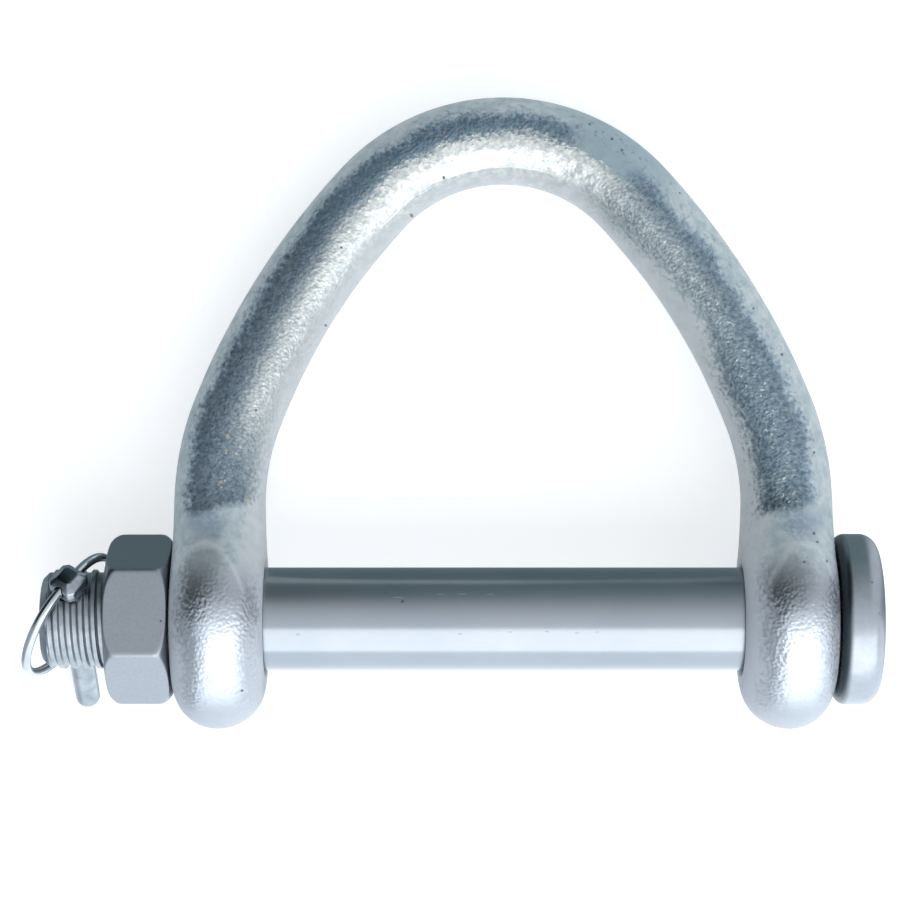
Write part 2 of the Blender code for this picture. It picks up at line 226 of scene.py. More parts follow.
def vector_maths(tree, operation, *values, scale=None):
    inputs = dict(enumerate(values))
    if scale is not None:
        inputs["Scale"] = scale
    node = add(tree, "ShaderNodeVectorMath", inputs, operation=operation)
    return node.outputs["Value" if operation in ("LENGTH", "DISTANCE", "DOT_PRODUCT") else "Vector"]


def combined(tree, **parts):
    """A vector from its X, Y and Z."""
    return add(tree, "ShaderNodeCombineXYZ", parts).outputs[0]


def separated(tree, vector):
    return add(tree, "ShaderNodeSeparateXYZ", {0: vector}).outputs


def smooth_step(tree, value, low, high, from_value=0.0, to_value=1.0):
    """from_value below low, to_value above high and a soft change between."""
    node = add(tree, "ShaderNodeMapRange", {
        "Value": value, "From Min": low, "From Max": high, "To Min": from_value, "To Max": to_value,
    }, interpolation_type="SMOOTHSTEP")
    return node.outputs[0]


def window(tree, value, centre, half_width, softness):
    """1 within half_width of the centre and 0 outside, with a soft edge."""
    away = maths(tree, "ABSOLUTE", minus(tree, value, centre))
    edge = softness / 2
    return smooth_step(tree, minus(tree, half_width, away), -edge, edge)


def noise(tree, vector, scale, detail, roughness, distortion=0.0):
    node = add(tree, "ShaderNodeTexNoise", {
        "Vector": vector, "Scale": scale, "Detail": detail, "Roughness": roughness,
        "Distortion": distortion,
    })
    return node.outputs[0]


def blend_colour(tree, share, first, second):
    node = add(tree, "ShaderNodeMix", data_type="RGBA")
    sockets = {socket.identifier: socket for socket in node.inputs}
    for key, value in (("Factor_Float", share), ("A_Color", first), ("B_Color", second)):
        feed(tree, sockets[key], value)
    return next(socket for socket in node.outputs if socket.identifier == "Result_Color")


def tint(tree, colour, tone, *shares):
    """The colour, with as much of the tone over it as the product of the shares."""
    return blend_colour(tree, times(tree, *shares), colour, tone)


def new_group(name, kind, inputs, outputs):
    """A node group with named sockets: inputs give (name, socket type, default)."""
    tree = bpy.data.node_groups.new(name, kind)
    for socket_name, socket_type, default in inputs:
        socket = tree.interface.new_socket(socket_name, in_out="INPUT", socket_type=socket_type)
        if default is not None:
            socket.default_value = (*default, 1.0) if socket_type == COLOUR else default
    for socket_name, socket_type in outputs:
        tree.interface.new_socket(socket_name, in_out="OUTPUT", socket_type=socket_type)
    start = tree.nodes.new("NodeGroupInput")
    end = tree.nodes.new("NodeGroupOutput")
    return tree, start.outputs, end.inputs


def new_shape_tree(name, inputs):
    """A Geometry Nodes tree that is given a shape and its finish, and named values besides."""
    given = [("Geometry", GEOMETRY, None), *inputs, ("Finish", MATERIAL, None)]
    return new_group(name, "GeometryNodeTree", given, [("Geometry", GEOMETRY)])


def end_shape_tree(tree, shape, given, result):
    """Hands out the shape as real points with its finish."""
    whole = add(tree, "GeometryNodeRealizeInstances", {"Geometry": shape})
    shown = add(tree, "GeometryNodeSetMaterial", {
        "Geometry": whole.outputs[0], "Material": given["Finish"]})
    tree.links.new(shown.outputs[0], result["Geometry"])
    return tree


def drawn_in(tree, parts, limit):
    """The place, drawn straight in towards the X axis where it lies further out than the limit."""
    out = combined(tree, X=0.0, Y=parts["Y"], Z=parts["Z"])
    radius = maths(tree, "MAXIMUM", vector_maths(tree, "LENGTH", out), NEAR_AXIS)
    share = maths(tree, "MINIMUM", maths(tree, "DIVIDE", limit, radius), 1.0)
    centre = combined(tree, X=parts["X"])
    return vector_maths(tree, "ADD", centre, vector_maths(tree, "SCALE", out, scale=share))


# Helpers for meshes

def steps(start, end, count):
    return [start + (end - start) * i / count for i in range(count + 1)]


def arc_steps(start, end, radius, step):
    """Angles from start to end whose points on the radius lie no further apart than the step."""
    return steps(start, end, max(2, math.ceil(abs(end - start) * radius / step)))


def fill(bm, rows, closed=True):
    """Faces between each row of points and the next, all the way round where the rows are closed."""
    for here, there in zip(rows, rows[1:]):
        count = len(here)
        for j in range(count if closed else count - 1):
            k = (j + 1) % count
            bm.faces.new((here[j], here[k], there[k], there[j]))


def mesh_object(name, bm):
    bmesh.ops.remove_doubles(bm, verts=bm.verts, dist=MERGE_DISTANCE)
    bmesh.ops.recalc_face_normals(bm, faces=bm.faces)
    mesh = bpy.data.meshes.new(name)
    bm.to_mesh(mesh)
    bm.free()
    mesh.shade_smooth()
    piece = bpy.data.objects.new(name, mesh)
    bpy.context.scene.collection.objects.link(piece)
    return piece


def turned(name, profile, sides):
    """A body turned about X from a profile of (x, radius) points that starts and ends on the axis."""
    bm = bmesh.new()
    points = [bm.verts.new((x, 0.0, radius)) for x, radius in profile]
    edges = [bm.edges.new(pair) for pair in zip(points, points[1:])]
    bmesh.ops.spin(bm, geom=points + edges, cent=(0, 0, 0), axis=(1, 0, 0),
                   angle=2 * math.pi, steps=sides, use_merge=True)
    return mesh_object(name, bm)


def boolean(piece, tool, operation):
    modifier = piece.modifiers.new(tool.name, "BOOLEAN")
    modifier.operation = operation
    modifier.solver = "EXACT"
    modifier.object = tool


def run_nodes(piece, tree, values):
    """Adds a Geometry Nodes modifier and sets its named inputs by their identifiers."""
    modifier = piece.modifiers.new(tree.name, "NODES")
    modifier.node_group = tree
    identifiers = {
        item.name: item.identifier for item in tree.interface.items_tree
        if item.item_type == "SOCKET" and item.in_out == "INPUT"
    }
    for name, value in values.items():
        modifier[identifiers[name]] = value


def made_plain(piece, matrix, helpers=()):
    """The evaluated piece as a plain mesh at the origin, with its place in its mesh."""
    bpy.context.view_layer.update()
    graph = bpy.context.evaluated_depsgraph_get()
    mesh = bpy.data.meshes.new_from_object(piece.evaluated_get(graph), depsgraph=graph)
    name = piece.name
    mesh.transform(matrix)
    for helper in helpers:
        bpy.data.objects.remove(helper, do_unlink=True)
    bpy.data.objects.remove(piece, do_unlink=True)
    mesh.name = name
    result = bpy.data.objects.new(name, mesh)
    bpy.context.scene.collection.objects.link(result)
    return result


def join_frame(piece, body):
    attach(piece, body)
    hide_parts(body)


# Shader groups that several finishes share

# Detail, roughness and distortion of their noises, and how far out a pit's edge ends, in its radii
CLOUDS = (4.0, 0.55, 0.3)
GRAIN = (3.0, 0.6)
PIT_EDGE = 1.4


def zinc_cloud_group():
    """Soft light and dark clouds of zinc."""
    tree, given, result = new_group("Zinc cloud", "ShaderNodeTree", [
        ("Vector", VECTOR, None), ("Size", FLOAT, 0.01), ("Sharpness", FLOAT, 0.3),
        ("Dark", COLOUR, (0.3, 0.35, 0.4)), ("Light", COLOUR, (0.7, 0.75, 0.8)),
    ], [("Color", COLOUR)])
    scale = maths(tree, "DIVIDE", 1.0, given["Size"])
    low = times(tree, given["Sharpness"], 0.5)
    high = minus(tree, 1.0, low)
    share = smooth_step(tree, noise(tree, given["Vector"], scale, *CLOUDS), low, high)
    tree.links.new(blend_colour(tree, share, given["Dark"], given["Light"]), result["Color"])
    return tree


def fine_grain_group():
    """A fine uneven grain, as a height in metres and as a mask from 0 to 1."""
    tree, given, result = new_group("Fine grain", "ShaderNodeTree", [
        ("Vector", VECTOR, None), ("Size", FLOAT, 0.0006), ("Depth", FLOAT, 0.00001),
    ], [("Height", FLOAT), ("Mask", FLOAT)])
    scale = maths(tree, "DIVIDE", 1.0, given["Size"])
    grain = noise(tree, given["Vector"], scale, *GRAIN)
    tree.links.new(grain, result["Mask"])
    tree.links.new(times(tree, grain, given["Depth"]), result["Height"])
    return tree


def pit_group():
    """Small scattered pits, as a mask: 1 in a pit and 0 elsewhere."""
    tree, given, result = new_group("Pits", "ShaderNodeTree", [
        ("Vector", VECTOR, None), ("Spacing", FLOAT, 0.006), ("Radius", FLOAT, 0.0004),
    ], [("Mask", FLOAT)])
    scale = maths(tree, "DIVIDE", 1.0, given["Spacing"])
    cells = add(tree, "ShaderNodeTexVoronoi", {"Vector": given["Vector"], "Scale": scale})
    reach = times(tree, cells.outputs["Distance"], given["Spacing"])
    edge = times(tree, given["Radius"], PIT_EDGE)
    tree.links.new(smooth_step(tree, reach, given["Radius"], edge, 1.0, 0.0), result["Mask"])
    return tree


ZINC_CLOUD = zinc_cloud_group()
FINE_GRAIN = fine_grain_group()
PITS = pit_group()


def use_group(tree, group, inputs):
    return add(tree, "ShaderNodeGroup", inputs, node_tree=group).outputs


def clouds(tree, place, size, sharpness, dark, light):
    """The colour of soft clouds of zinc."""
    return use_group(tree, ZINC_CLOUD, {
        "Vector": place, "Size": size, "Sharpness": sharpness, "Dark": dark, "Light": light,
    })["Color"]


def fine_grain(tree, place, size, depth):
    return use_group(tree, FINE_GRAIN, {"Vector": place, "Size": size, "Depth": depth})


def new_material(name):
    """An empty material: gives it with its tree, its shader and its object coordinates."""
    material = bpy.data.materials.new(name)
    material.use_nodes = True
    tree = material.node_tree
    tree.nodes.clear()
    shader = add(tree, "ShaderNodeBsdfPrincipled")
    add(tree, "ShaderNodeOutputMaterial", {"Surface": shader.outputs[0]})
    place = add(tree, "ShaderNodeTexCoord").outputs["Object"]
    return material, tree, shader, place


# How much rougher the finest grain is where it stands highest
GRAIN_ROUGHNESS = 0.10


def set_metal(tree, shader, colour, roughness, height, metallic=1.0):
    """Gives the shader its colour, its shine and the fine height that tips its normals."""
    bump = add(tree, "ShaderNodeBump", {"Height": height, "Distance": 1.0})
    set_inputs(tree, shader, {
        "Base Color": colour, "Roughness": roughness, "Metallic": metallic,
        "Normal": bump.outputs[0],
    })


def set_plated(tree, shader, place, colour, roughness, grain_size, grain_depth):
    """Gives the shader of a plated piece its colour, its shine and a fine grain."""
    grain = fine_grain(tree, place, grain_size, grain_depth)
    roughness = times_plus(tree, grain["Mask"], GRAIN_ROUGHNESS, roughness)
    set_metal(tree, shader, colour, roughness, grain["Height"])


# Marks

# A mark is whole within the first of these shares of its radius, and fades out up to the second
MARK_CORE = 0.6
MARK_EDGE = 1.5

# Marks on the front of the bow, as (run from the crown, across the bar, radius)
RUST_SPECKS = (
    (-0.1148, -0.10, 0.00034), (-0.1070, -0.11, 0.00028), (-0.1035, -0.06, 0.00038),
    (-0.1189, -0.67, 0.00034), (-0.1160, -0.13, 0.00022),
)
DARK_PITS = (
    (0.1270, 0.42, 0.00035), (0.1290, 0.48, 0.00028), (0.1335, 0.12, 0.00028),
    (0.1335, 0.66, 0.00032), (0.1405, 0.86, 0.00028), (0.1090, 0.62, 0.00030),
    (0.0860, 0.71, 0.00035), (-0.1640, -0.62, 0.00028), (-0.0315, -0.93, 0.00042),
    (-0.0175, -0.63, 0.00030), (-0.0680, -0.93, 0.00028), (-0.1455, 0.34, 0.00025),
    (0.0180, 0.73, 0.00024), (0.0235, 0.66, 0.00030), (0.0265, 0.57, 0.00026),
    (0.0420, 0.81, 0.00022), (0.0735, 0.63, 0.00025), (-0.0950, -0.43, 0.00024),
    (-0.0500, -0.25, 0.00028),
)

# Marks on the bolt and the nut, as points in lying coordinates with their radii
SHANK_SPOTS = (((-0.02424, 0.00483, 0.01153), 0.00034), ((-0.02844, 0.00680, 0.01049), 0.00018))
SHANK_SCRATCHES = (
    ((-0.02532, 0.00576, 0.01109), 0.00016), ((-0.01529, 0.00650, 0.01068), 0.00013),
    ((-0.01003, 0.00657, 0.01063), 0.00017), ((-0.00333, 0.00646, 0.01070), 0.00013),
)
SHANK_SCUFFS = (
    ((-0.04916, -0.00302, 0.01213), 0.00022), ((-0.01051, -0.00290, 0.01216), 0.00020),
    ((0.00142, -0.00241, 0.01226), 0.00018), ((0.01025, -0.00229, 0.01229), 0.00018),
    ((0.01740, -0.00265, 0.01221), 0.00020), ((0.02217, -0.00241, 0.01226), 0.00015),
)
SCRATCH_STRETCH = 7.0
SCUFF_STRETCH = 2.5
HEAD_SPOTS = (((0.0869, 0.0096, 0.0180), 0.00030), ((0.0885, 0.0025, 0.0200), 0.00022))
NUT_SPOTS = (
    ((-0.08129, 0.00056, 0.01826), 0.00030), ((-0.08400, -0.00661, 0.01725), 0.00024),
    ((-0.09035, -0.00398, 0.01762), 0.00014), ((-0.08800, 0.00300, 0.01855), 0.00013),
)


def round_marks(tree, marks):
    """A mask of small round marks, each given as the distance from its middle and its radius."""
    mask = 0.0
    for away, radius in marks:
        spot = smooth_step(tree, away, radius * MARK_CORE, radius * MARK_EDGE, 1.0, 0.0)
        mask = maths(tree, "MAXIMUM", mask, spot)
    return mask


def front_marks(tree, at, marks):
    """A mask of marks on the bow's front."""
    place = combined(tree, X=at.run, Y=times(tree, at.across, BAR_RADIUS))
    mask = round_marks(tree, (
        (vector_maths(tree, "DISTANCE", place, (run, across * BAR_RADIUS, 0.0)), radius)
        for run, across, radius in marks
    ))
    return times(tree, mask, maths(tree, "GREATER_THAN", at.front, 0.0))


def spots(tree, place, marks, stretch=1.0):
    """A mask of marks at points given in lying coordinates, stretched along the bolt."""
    squeeze = (1 / stretch, 1.0, 1.0)

    def away(point):
        reach = vector_maths(tree, "SUBTRACT", place, tuple(LYING @ Vector(point)))
        return vector_maths(tree, "LENGTH", vector_maths(tree, "MULTIPLY", reach, squeeze))

    return round_marks(tree, ((away(point), radius) for point, radius in marks))


# The bow's finish

# Colours of its zinc. Clouds are (size, sharpness, dark, light), and a tint is (colour, strength).
PALE_ZINC = (0.0030, 0.50, (0.355, 0.445, 0.475), (0.54, 0.59, 0.61))
PALE_BLUE = (0.285, 0.395, 0.435)
FLECK_BLUE = (0.12, 0.18, 0.23)
NECK_BLUE = (0.22, 0.29, 0.38)
INSIDE_PALE = (0.59, 0.60, 0.61)
EYE_PALE = (0.50, 0.54, 0.60)
# The bright crust's light colour is partly barer zinc and partly a painted highlight, warm like the key
# light's reflection.
BRIGHT_CRUST_AND_HIGHLIGHT = (0.0011, 0.45, (0.36, 0.40, 0.41), (0.70, 0.70, 0.64))
DARK_CRUST_CLOUDS = (0.0011, 0.50)
DARK_CRUST_LEFT = (0.072, 0.112, 0.155)
DARK_CRUST_RIGHT = (0.080, 0.125, 0.165)
DARK_CRUST_FLECK_LEFT = (0.20, 0.25, 0.28)
DARK_CRUST_FLECK_RIGHT = (0.24, 0.30, 0.33)
CROWN_CRUST = (0.115, 0.200, 0.275)
CRUST_FRINGE = (0.13, 0.22, 0.34)
# Painted glints: warm-white specks in the crust's colour that stand in for crystals catching the key light.
PAINTED_GLINT = (0.80, 0.80, 0.72)
EYE_ZINC_SHADE = (0.32, 0.34, 0.365)
# The eye's lighter zinc is a painted highlight where the key light's reflection falls.
EYE_ZINC_HIGHLIGHT = (0.58, 0.62, 0.67)
# The seam is a real ridge in the relief; its pale line is a painted highlight along it.
SEAM_PAINTED_HIGHLIGHT = ((0.80, 0.82, 0.76), 0.75)
# A painted dark reflection: the dark surroundings mirrored on the eye's upper front, painted as a dark
# oval.
EYE_DARK_PAINTED_REFLECTION = ((0.15, 0.175, 0.185), 0.60)
# The arch is a real ridge; its lighter line is a painted highlight along it.
ARCH_PAINTED_HIGHLIGHT = ((0.66, 0.70, 0.75), 0.38)
PIT_DARK = ((0.055, 0.075, 0.09), 0.8)
RUST = ((0.50, 0.41, 0.22), 0.8)
BOW_GRAIN = (0.00045, 0.00003)
BOW_PITS = {"Spacing": 0.014, "Radius": 0.00022}

# Noises of its zinc, as (scale, detail, roughness)
WIDE_WANDER = (75.0, 2.0, 0.5)
FINE_WANDER = (900.0, 1.5, 0.6)
FLECKS = (620.0, 2.5, 0.65)
SPARKS = (950.0, 1.5, 0.6)
CRUST_PEEL = (1500.0, 0.5, 0.5)
EYE_RIPPLE = (1250.0, 0.5, 0.5)
CROWN_WAVES = (210.0, 1.5, 0.6)
NECK_WAVES = (520.0, 2.0, 0.6)

# Where its zinc changes. Runs and heights are in metres, and across is in bar radii outwards. A change
# is (from, to) or (from, to, value before, value after), a zone is (middle, half width, softness), and
# a rise is (what 1 adds, value at 0). An oval is the middle and half the size of its height, and then
# of its width. A wander is how far the noise moves what it frays.
WANDER_FINE_SHARE = 0.55
HEIGHT_WANDER = 0.0050
PATCH_WANDER = 0.012
BLUE_WANDER = 0.014
SEAM_WANDER = 0.15
ARCH_WANDER = 0.0022
OVAL_EDGE = (0.35, 1.25, 1.0, 0.0)
RIGHT_LEG = (-0.075, 0.010)
CROWN_ZONE = (-0.020, 0.030, 0.026)

CRUST_OUTER_EDGE = (-0.060, 0.010, 0.68, 0.47)
CRUST_OUTER_SOFTNESS = 0.17
CRUST_INNER_EDGE = (0.040, 0.055, -0.74, -0.56)
CRUST_INNER_RETREAT = (0.060, 0.105, 0.0, -0.20)
CRUST_INNER_SOFTNESS = (0.020, 0.060, 0.27, 0.17)
CRUST_FOOT = 0.0268
CRUST_FOOT_SLOPE = 0.0024
CRUST_FOOT_CHANGE = (-0.0012, 0.0016)
FRINGE_ACROSS = (0.1, 0.5)
FRINGE_RISE = (-2.4, 2.4)

PATCH_RUN = (0.0245, 0.0080, 0.0080)
PATCH_ACROSS = (-0.12, 0.20)
PATCH_CRUST = (0.0, 1.0, 1.0, 0.15)
PATCH_FLECKS = (0.30, 0.42)

BRIGHT_EDGE = (-0.105, 0.0, -0.13, 0.05)
BRIGHT_SOFTNESS_LEFT = (-0.070, -0.010, 0.30, 0.12)
BRIGHT_SOFTNESS_RIGHT = (0.010, 0.040, 0.0, 0.12)
BRIGHT_AMOUNTS = (
    (-0.116, -0.090), (-0.090, -0.025, 0.62, 1.0), (0.019, 0.040, 1.0, 0.36), (0.045, 0.095, 1.0, 0.0),
)

SPARKLE_LEVEL = (0.60, 0.72)
SPARKLE_ACROSS = (-0.15, 0.20, 0.40)
SPARKLE_SHARE = 0.65
SPARKLE_RIGHT_LEG = (0.030, 0.060, 0.0, SPARKLE_SHARE)
SPARKLE_LEFT_FOOT = (-0.1085, 0.0080, 0.0080)

FLECK_LEVEL = (0.55, 0.68)
FLECK_ACROSS = (0.62, 0.22, 0.16)
FLECK_RUN = (0.010, 0.095, 0.03)
BLUE_RUN = (0.0275, 0.0125, 0.014)
BLUE_ACROSS = (-0.30, 0.10)
BLUE_FLECKED = (-0.25, 0.80)
INSIDE_SHARE = (-0.75, -0.50, 0.55, 0.0)
BY_EYE_SHARE = (0.0060, 0.0180, 0.85, 0.0)
NECK_SPOT = (0.0238, 0.0040, 0.20, 0.55)
NECK_SPOT_SHARE = (-0.20, 0.15, 0.35, 0.75)

EYE_TOP = (0.0060, 0.0180, 1.0, 0.0)
EYE_BOTTOM = (-0.0240, -0.0180)
EYE_WIDTH = (0.12, 0.76, 0.50)
# Where the eye's painted highlight lies: by height, and sideways.
EYE_HIGHLIGHT_HEIGHT = (-0.0080, 0.0115, 0.0120)
EYE_HIGHLIGHT_WIDTH = (0.12, 0.50, 0.60)
# Where the eye's painted dark reflection lies.
EYE_DARK_SPOT = (0.0125, 0.0085, -0.16, 0.55)
EYE_DARK_RISE = 0.00200

SEAM_ACROSS = (-0.66, 0.010, 0.030)
SEAM_RUN = (-0.013, 0.025, 0.008)

# The pointed arch where a leg runs into its eye: across the bar, up the leg, and how it falls off
ARCH_ACROSS = 0.15
ARCH_HEIGHT = 0.0188
ARCH_FALL = 0.0165
ARCH_LINE = (-0.0004, 0.0009, 0.0022)
ARCH_LINE_ACROSS = (0.0, 0.70, 0.3)

# How metallic it is: shares of bare metal, and rises over them
RIGHT_LEG_METAL = 0.45
CRUST_METAL = (0.60, 0.35)
EYE_METAL = 0.9
SEAM_METAL = 0.8
BOW_METALLIC = (0.90, 0.10)
BOW_ROUGHNESS = (-0.26, 0.54)

# Heights of what only tips the light, in metres
PEEL_DEPTH = (-0.00013, 0.00020)
PEEL_SMOOTH_BRIGHT = (0.55, 0.95)
PEEL_SMOOTH_RUN = (-0.090, -0.030)
CROWN_WAVES_RUN = (-0.010, 0.050, 0.030)
CROWN_WAVES_DEPTH = 0.00050
NECK_WAVES_HEIGHT = (0.0190, 0.0065, 0.0060)
NECK_WAVES_DEPTH = 0.00028
SEAM_BUMP = 0.00012
ARCH_BUMP = 0.00006
EYE_SLOPE = (-0.019, 0.003, 0.0, 0.0013)
EYE_RIPPLE_DEPTH = 0.00022
MARK_DEPTH = 0.00010


def zinc_place(tree, place):
    """Where a point lies on the bow, plain and with the wander that frays the edges of the zones."""
    at = SimpleNamespace(place=place)
    at.across, at.height, at.run, at.front = (
        add(tree, "ShaderNodeAttribute", attribute_name=name).outputs["Fac"]
        for name in ("bow_across", "bow_height", "bow_run", "bow_front")
    )
    at.side = maths(tree, "SIGN", at.run)
    at.right_leg = smooth_step(tree, at.run, *RIGHT_LEG)
    at.wide_wander = minus(tree, noise(tree, place, *WIDE_WANDER), 0.5)
    at.fine_wander = minus(tree, noise(tree, place, *FINE_WANDER), 0.5)
    wide_share = times(tree, at.wide_wander, 1 - WANDER_FINE_SHARE)
    at.wander = times_plus(tree, at.fine_wander, WANDER_FINE_SHARE, wide_share)
    at.uneven = plus(tree, at.across, at.wander)
    at.sideways = times(tree, at.uneven, at.side)
    at.rough_height = times_plus(tree, at.wander, HEIGHT_WANDER, at.height)
    return at


def oval(tree, first, second, first_centre, first_reach, second_centre, second_reach):
    """A soft oval spot: 1 in its middle and 0 from its edge outward."""
    place = combined(
        tree,
        X=maths(tree, "DIVIDE", minus(tree, first, first_centre), first_reach),
        Y=maths(tree, "DIVIDE", minus(tree, second, second_centre), second_reach),
    )
    return smooth_step(tree, vector_maths(tree, "LENGTH", place), *OVAL_EDGE)


def eye_arch(tree, across, height):
    """How far a point lies under the pointed arch where the leg runs into its eye."""
    reach = minus(tree, across, ARCH_ACROSS)
    arch = plus(tree, times(tree, reach, reach, -ARCH_FALL), ARCH_HEIGHT)
    return minus(tree, arch, height)


def pale_patch(tree, at):
    """The pale patch that breaks the crust to the right of the crown."""
    along = window(tree, times_plus(tree, at.wander, PATCH_WANDER, at.run), *PATCH_RUN)
    return times(tree, along, smooth_step(tree, at.uneven, *PATCH_ACROSS))


def crust_band(tree, at, patch):
    """The band of crust along the front and back of the bar."""
    outer_edge = smooth_step(tree, at.run, *CRUST_OUTER_EDGE)
    outer = smooth_step(
        tree, minus(tree, outer_edge, at.uneven), -CRUST_OUTER_SOFTNESS, CRUST_OUTER_SOFTNESS)
    inner_edge = plus(tree, smooth_step(tree, at.run, *CRUST_INNER_EDGE),
                      smooth_step(tree, at.run, *CRUST_INNER_RETREAT))
    softness = smooth_step(tree, at.run, *CRUST_INNER_SOFTNESS)
    inner = smooth_step(
        tree, minus(tree, at.uneven, inner_edge), times(tree, softness, -1.0), softness)
    foot = times_plus(tree, times(tree, at.side, at.across), CRUST_FOOT_SLOPE, CRUST_FOOT)
    above_foot = smooth_step(tree, minus(tree, at.rough_height, foot), *CRUST_FOOT_CHANGE)
    return times(tree, outer, inner, above_foot, smooth_step(tree, patch, *PATCH_CRUST))


def bright_and_highlight_share(tree, at):
    """How bright the crust is, on its inner part from the left leg over the crown: partly barer zinc,
    partly a painted highlight.
    """
    under = minus(tree, smooth_step(tree, at.run, *BRIGHT_EDGE), at.uneven)
    softness = plus(tree, smooth_step(tree, at.run, *BRIGHT_SOFTNESS_LEFT),
                    smooth_step(tree, at.run, *BRIGHT_SOFTNESS_RIGHT))
    bright = smooth_step(tree, under, times(tree, softness, -1.0), softness)
    amount = times(tree, *(smooth_step(tree, at.run, *change) for change in BRIGHT_AMOUNTS))
    return times(tree, bright, amount)


def pale_zinc(tree, at, patch):
    """The pale zinc beside the crust, with its blue stretch and flecks, paler inside the bow."""
    colour = clouds(tree, at.place, *PALE_ZINC)
    flecks = smooth_step(tree, noise(tree, at.place, *FLECKS), *FLECK_LEVEL)
    colour = tint(
        tree, colour, PALE_BLUE,
        window(tree, times_plus(tree, at.wander, BLUE_WANDER, at.run), *BLUE_RUN),
        smooth_step(tree, at.across, *BLUE_ACROSS), times_plus(tree, flecks, *BLUE_FLECKED),
    )
    colour = tint(
        tree, colour, FLECK_BLUE, flecks,
        window(tree, at.across, *FLECK_ACROSS), window(tree, at.run, *FLECK_RUN),
        times_plus(tree, patch, *PATCH_FLECKS),
    )
    colour = tint(tree, colour, INSIDE_PALE, smooth_step(tree, at.uneven, *INSIDE_SHARE))
    colour = tint(tree, colour, EYE_PALE, smooth_step(tree, at.rough_height, *BY_EYE_SHARE))
    return tint(
        tree, colour, NECK_BLUE, oval(tree, at.rough_height, at.uneven, *NECK_SPOT),
        smooth_step(tree, at.fine_wander, *NECK_SPOT_SHARE),
    )


def crust_zinc(tree, at, band, bright):
    """The crystalline crust, dark or bright (the bright part partly a painted highlight), with a blue
    fringe outwards and painted glints.
    """
    dark = blend_colour(tree, at.right_leg, DARK_CRUST_LEFT, DARK_CRUST_RIGHT)
    dark = tint(tree, dark, CROWN_CRUST, window(tree, at.run, *CROWN_ZONE))
    fleck = blend_colour(tree, at.right_leg, DARK_CRUST_FLECK_LEFT, DARK_CRUST_FLECK_RIGHT)
    colour = blend_colour(
        tree, bright, clouds(tree, at.place, *DARK_CRUST_CLOUDS, dark, fleck),
        clouds(tree, at.place, *BRIGHT_CRUST_AND_HIGHLIGHT),
    )
    colour = tint(
        tree, colour, CRUST_FRINGE, band, times_plus(tree, band, *FRINGE_RISE),
        smooth_step(tree, at.across, *FRINGE_ACROSS),
    )
    # Painted glints: pale specks of colour in place of crystals catching the light.
    left_foot = times(tree, window(tree, at.run, *SPARKLE_LEFT_FOOT), SPARKLE_SHARE)
    return tint(
        tree, colour, PAINTED_GLINT,
        smooth_step(tree, noise(tree, at.place, *SPARKS), *SPARKLE_LEVEL),
        window(tree, at.uneven, *SPARKLE_ACROSS),
        maths(tree, "MAXIMUM", smooth_step(tree, at.run, *SPARKLE_RIGHT_LEG), left_foot),
    )


def eye_front(tree, at):
    """The metal on an eye's front, as its share and its colour, lightened by a painted highlight where the
    key light reflects.
    """
    share = times(
        tree, smooth_step(tree, at.rough_height, *EYE_TOP),
        smooth_step(tree, at.rough_height, *EYE_BOTTOM), window(tree, at.sideways, *EYE_WIDTH),
    )
    painted_highlight = times(tree, window(tree, at.rough_height, *EYE_HIGHLIGHT_HEIGHT),
                 window(tree, at.sideways, *EYE_HIGHLIGHT_WIDTH))
    return share, blend_colour(tree, painted_highlight, EYE_ZINC_SHADE, EYE_ZINC_HIGHLIGHT)


def bow_relief(tree, at, band, bright, eye, raised):
    """The fine height of the zinc. What is raised or sunk evenly comes as (mask, height) pairs."""
    smooth = times(tree, smooth_step(tree, bright, *PEEL_SMOOTH_BRIGHT),
                   smooth_step(tree, at.run, *PEEL_SMOOTH_RUN))
    relief = times(
        tree, noise(tree, at.place, *CRUST_PEEL), times_plus(tree, smooth, *PEEL_DEPTH), band)
    waves = times(tree, noise(tree, at.place, *CROWN_WAVES), window(tree, at.run, *CROWN_WAVES_RUN))
    neck = times(tree, noise(tree, at.place, *NECK_WAVES), window(tree, at.height, *NECK_WAVES_HEIGHT))
    ripple = times(tree, noise(tree, at.place, *EYE_RIPPLE), eye)
    for mask, height in (
        (waves, CROWN_WAVES_DEPTH), (neck, NECK_WAVES_DEPTH), (ripple, EYE_RIPPLE_DEPTH), *raised,
    ):
        relief = times_plus(tree, mask, height, relief)
    return plus(tree, relief, smooth_step(tree, at.height, *EYE_SLOPE))


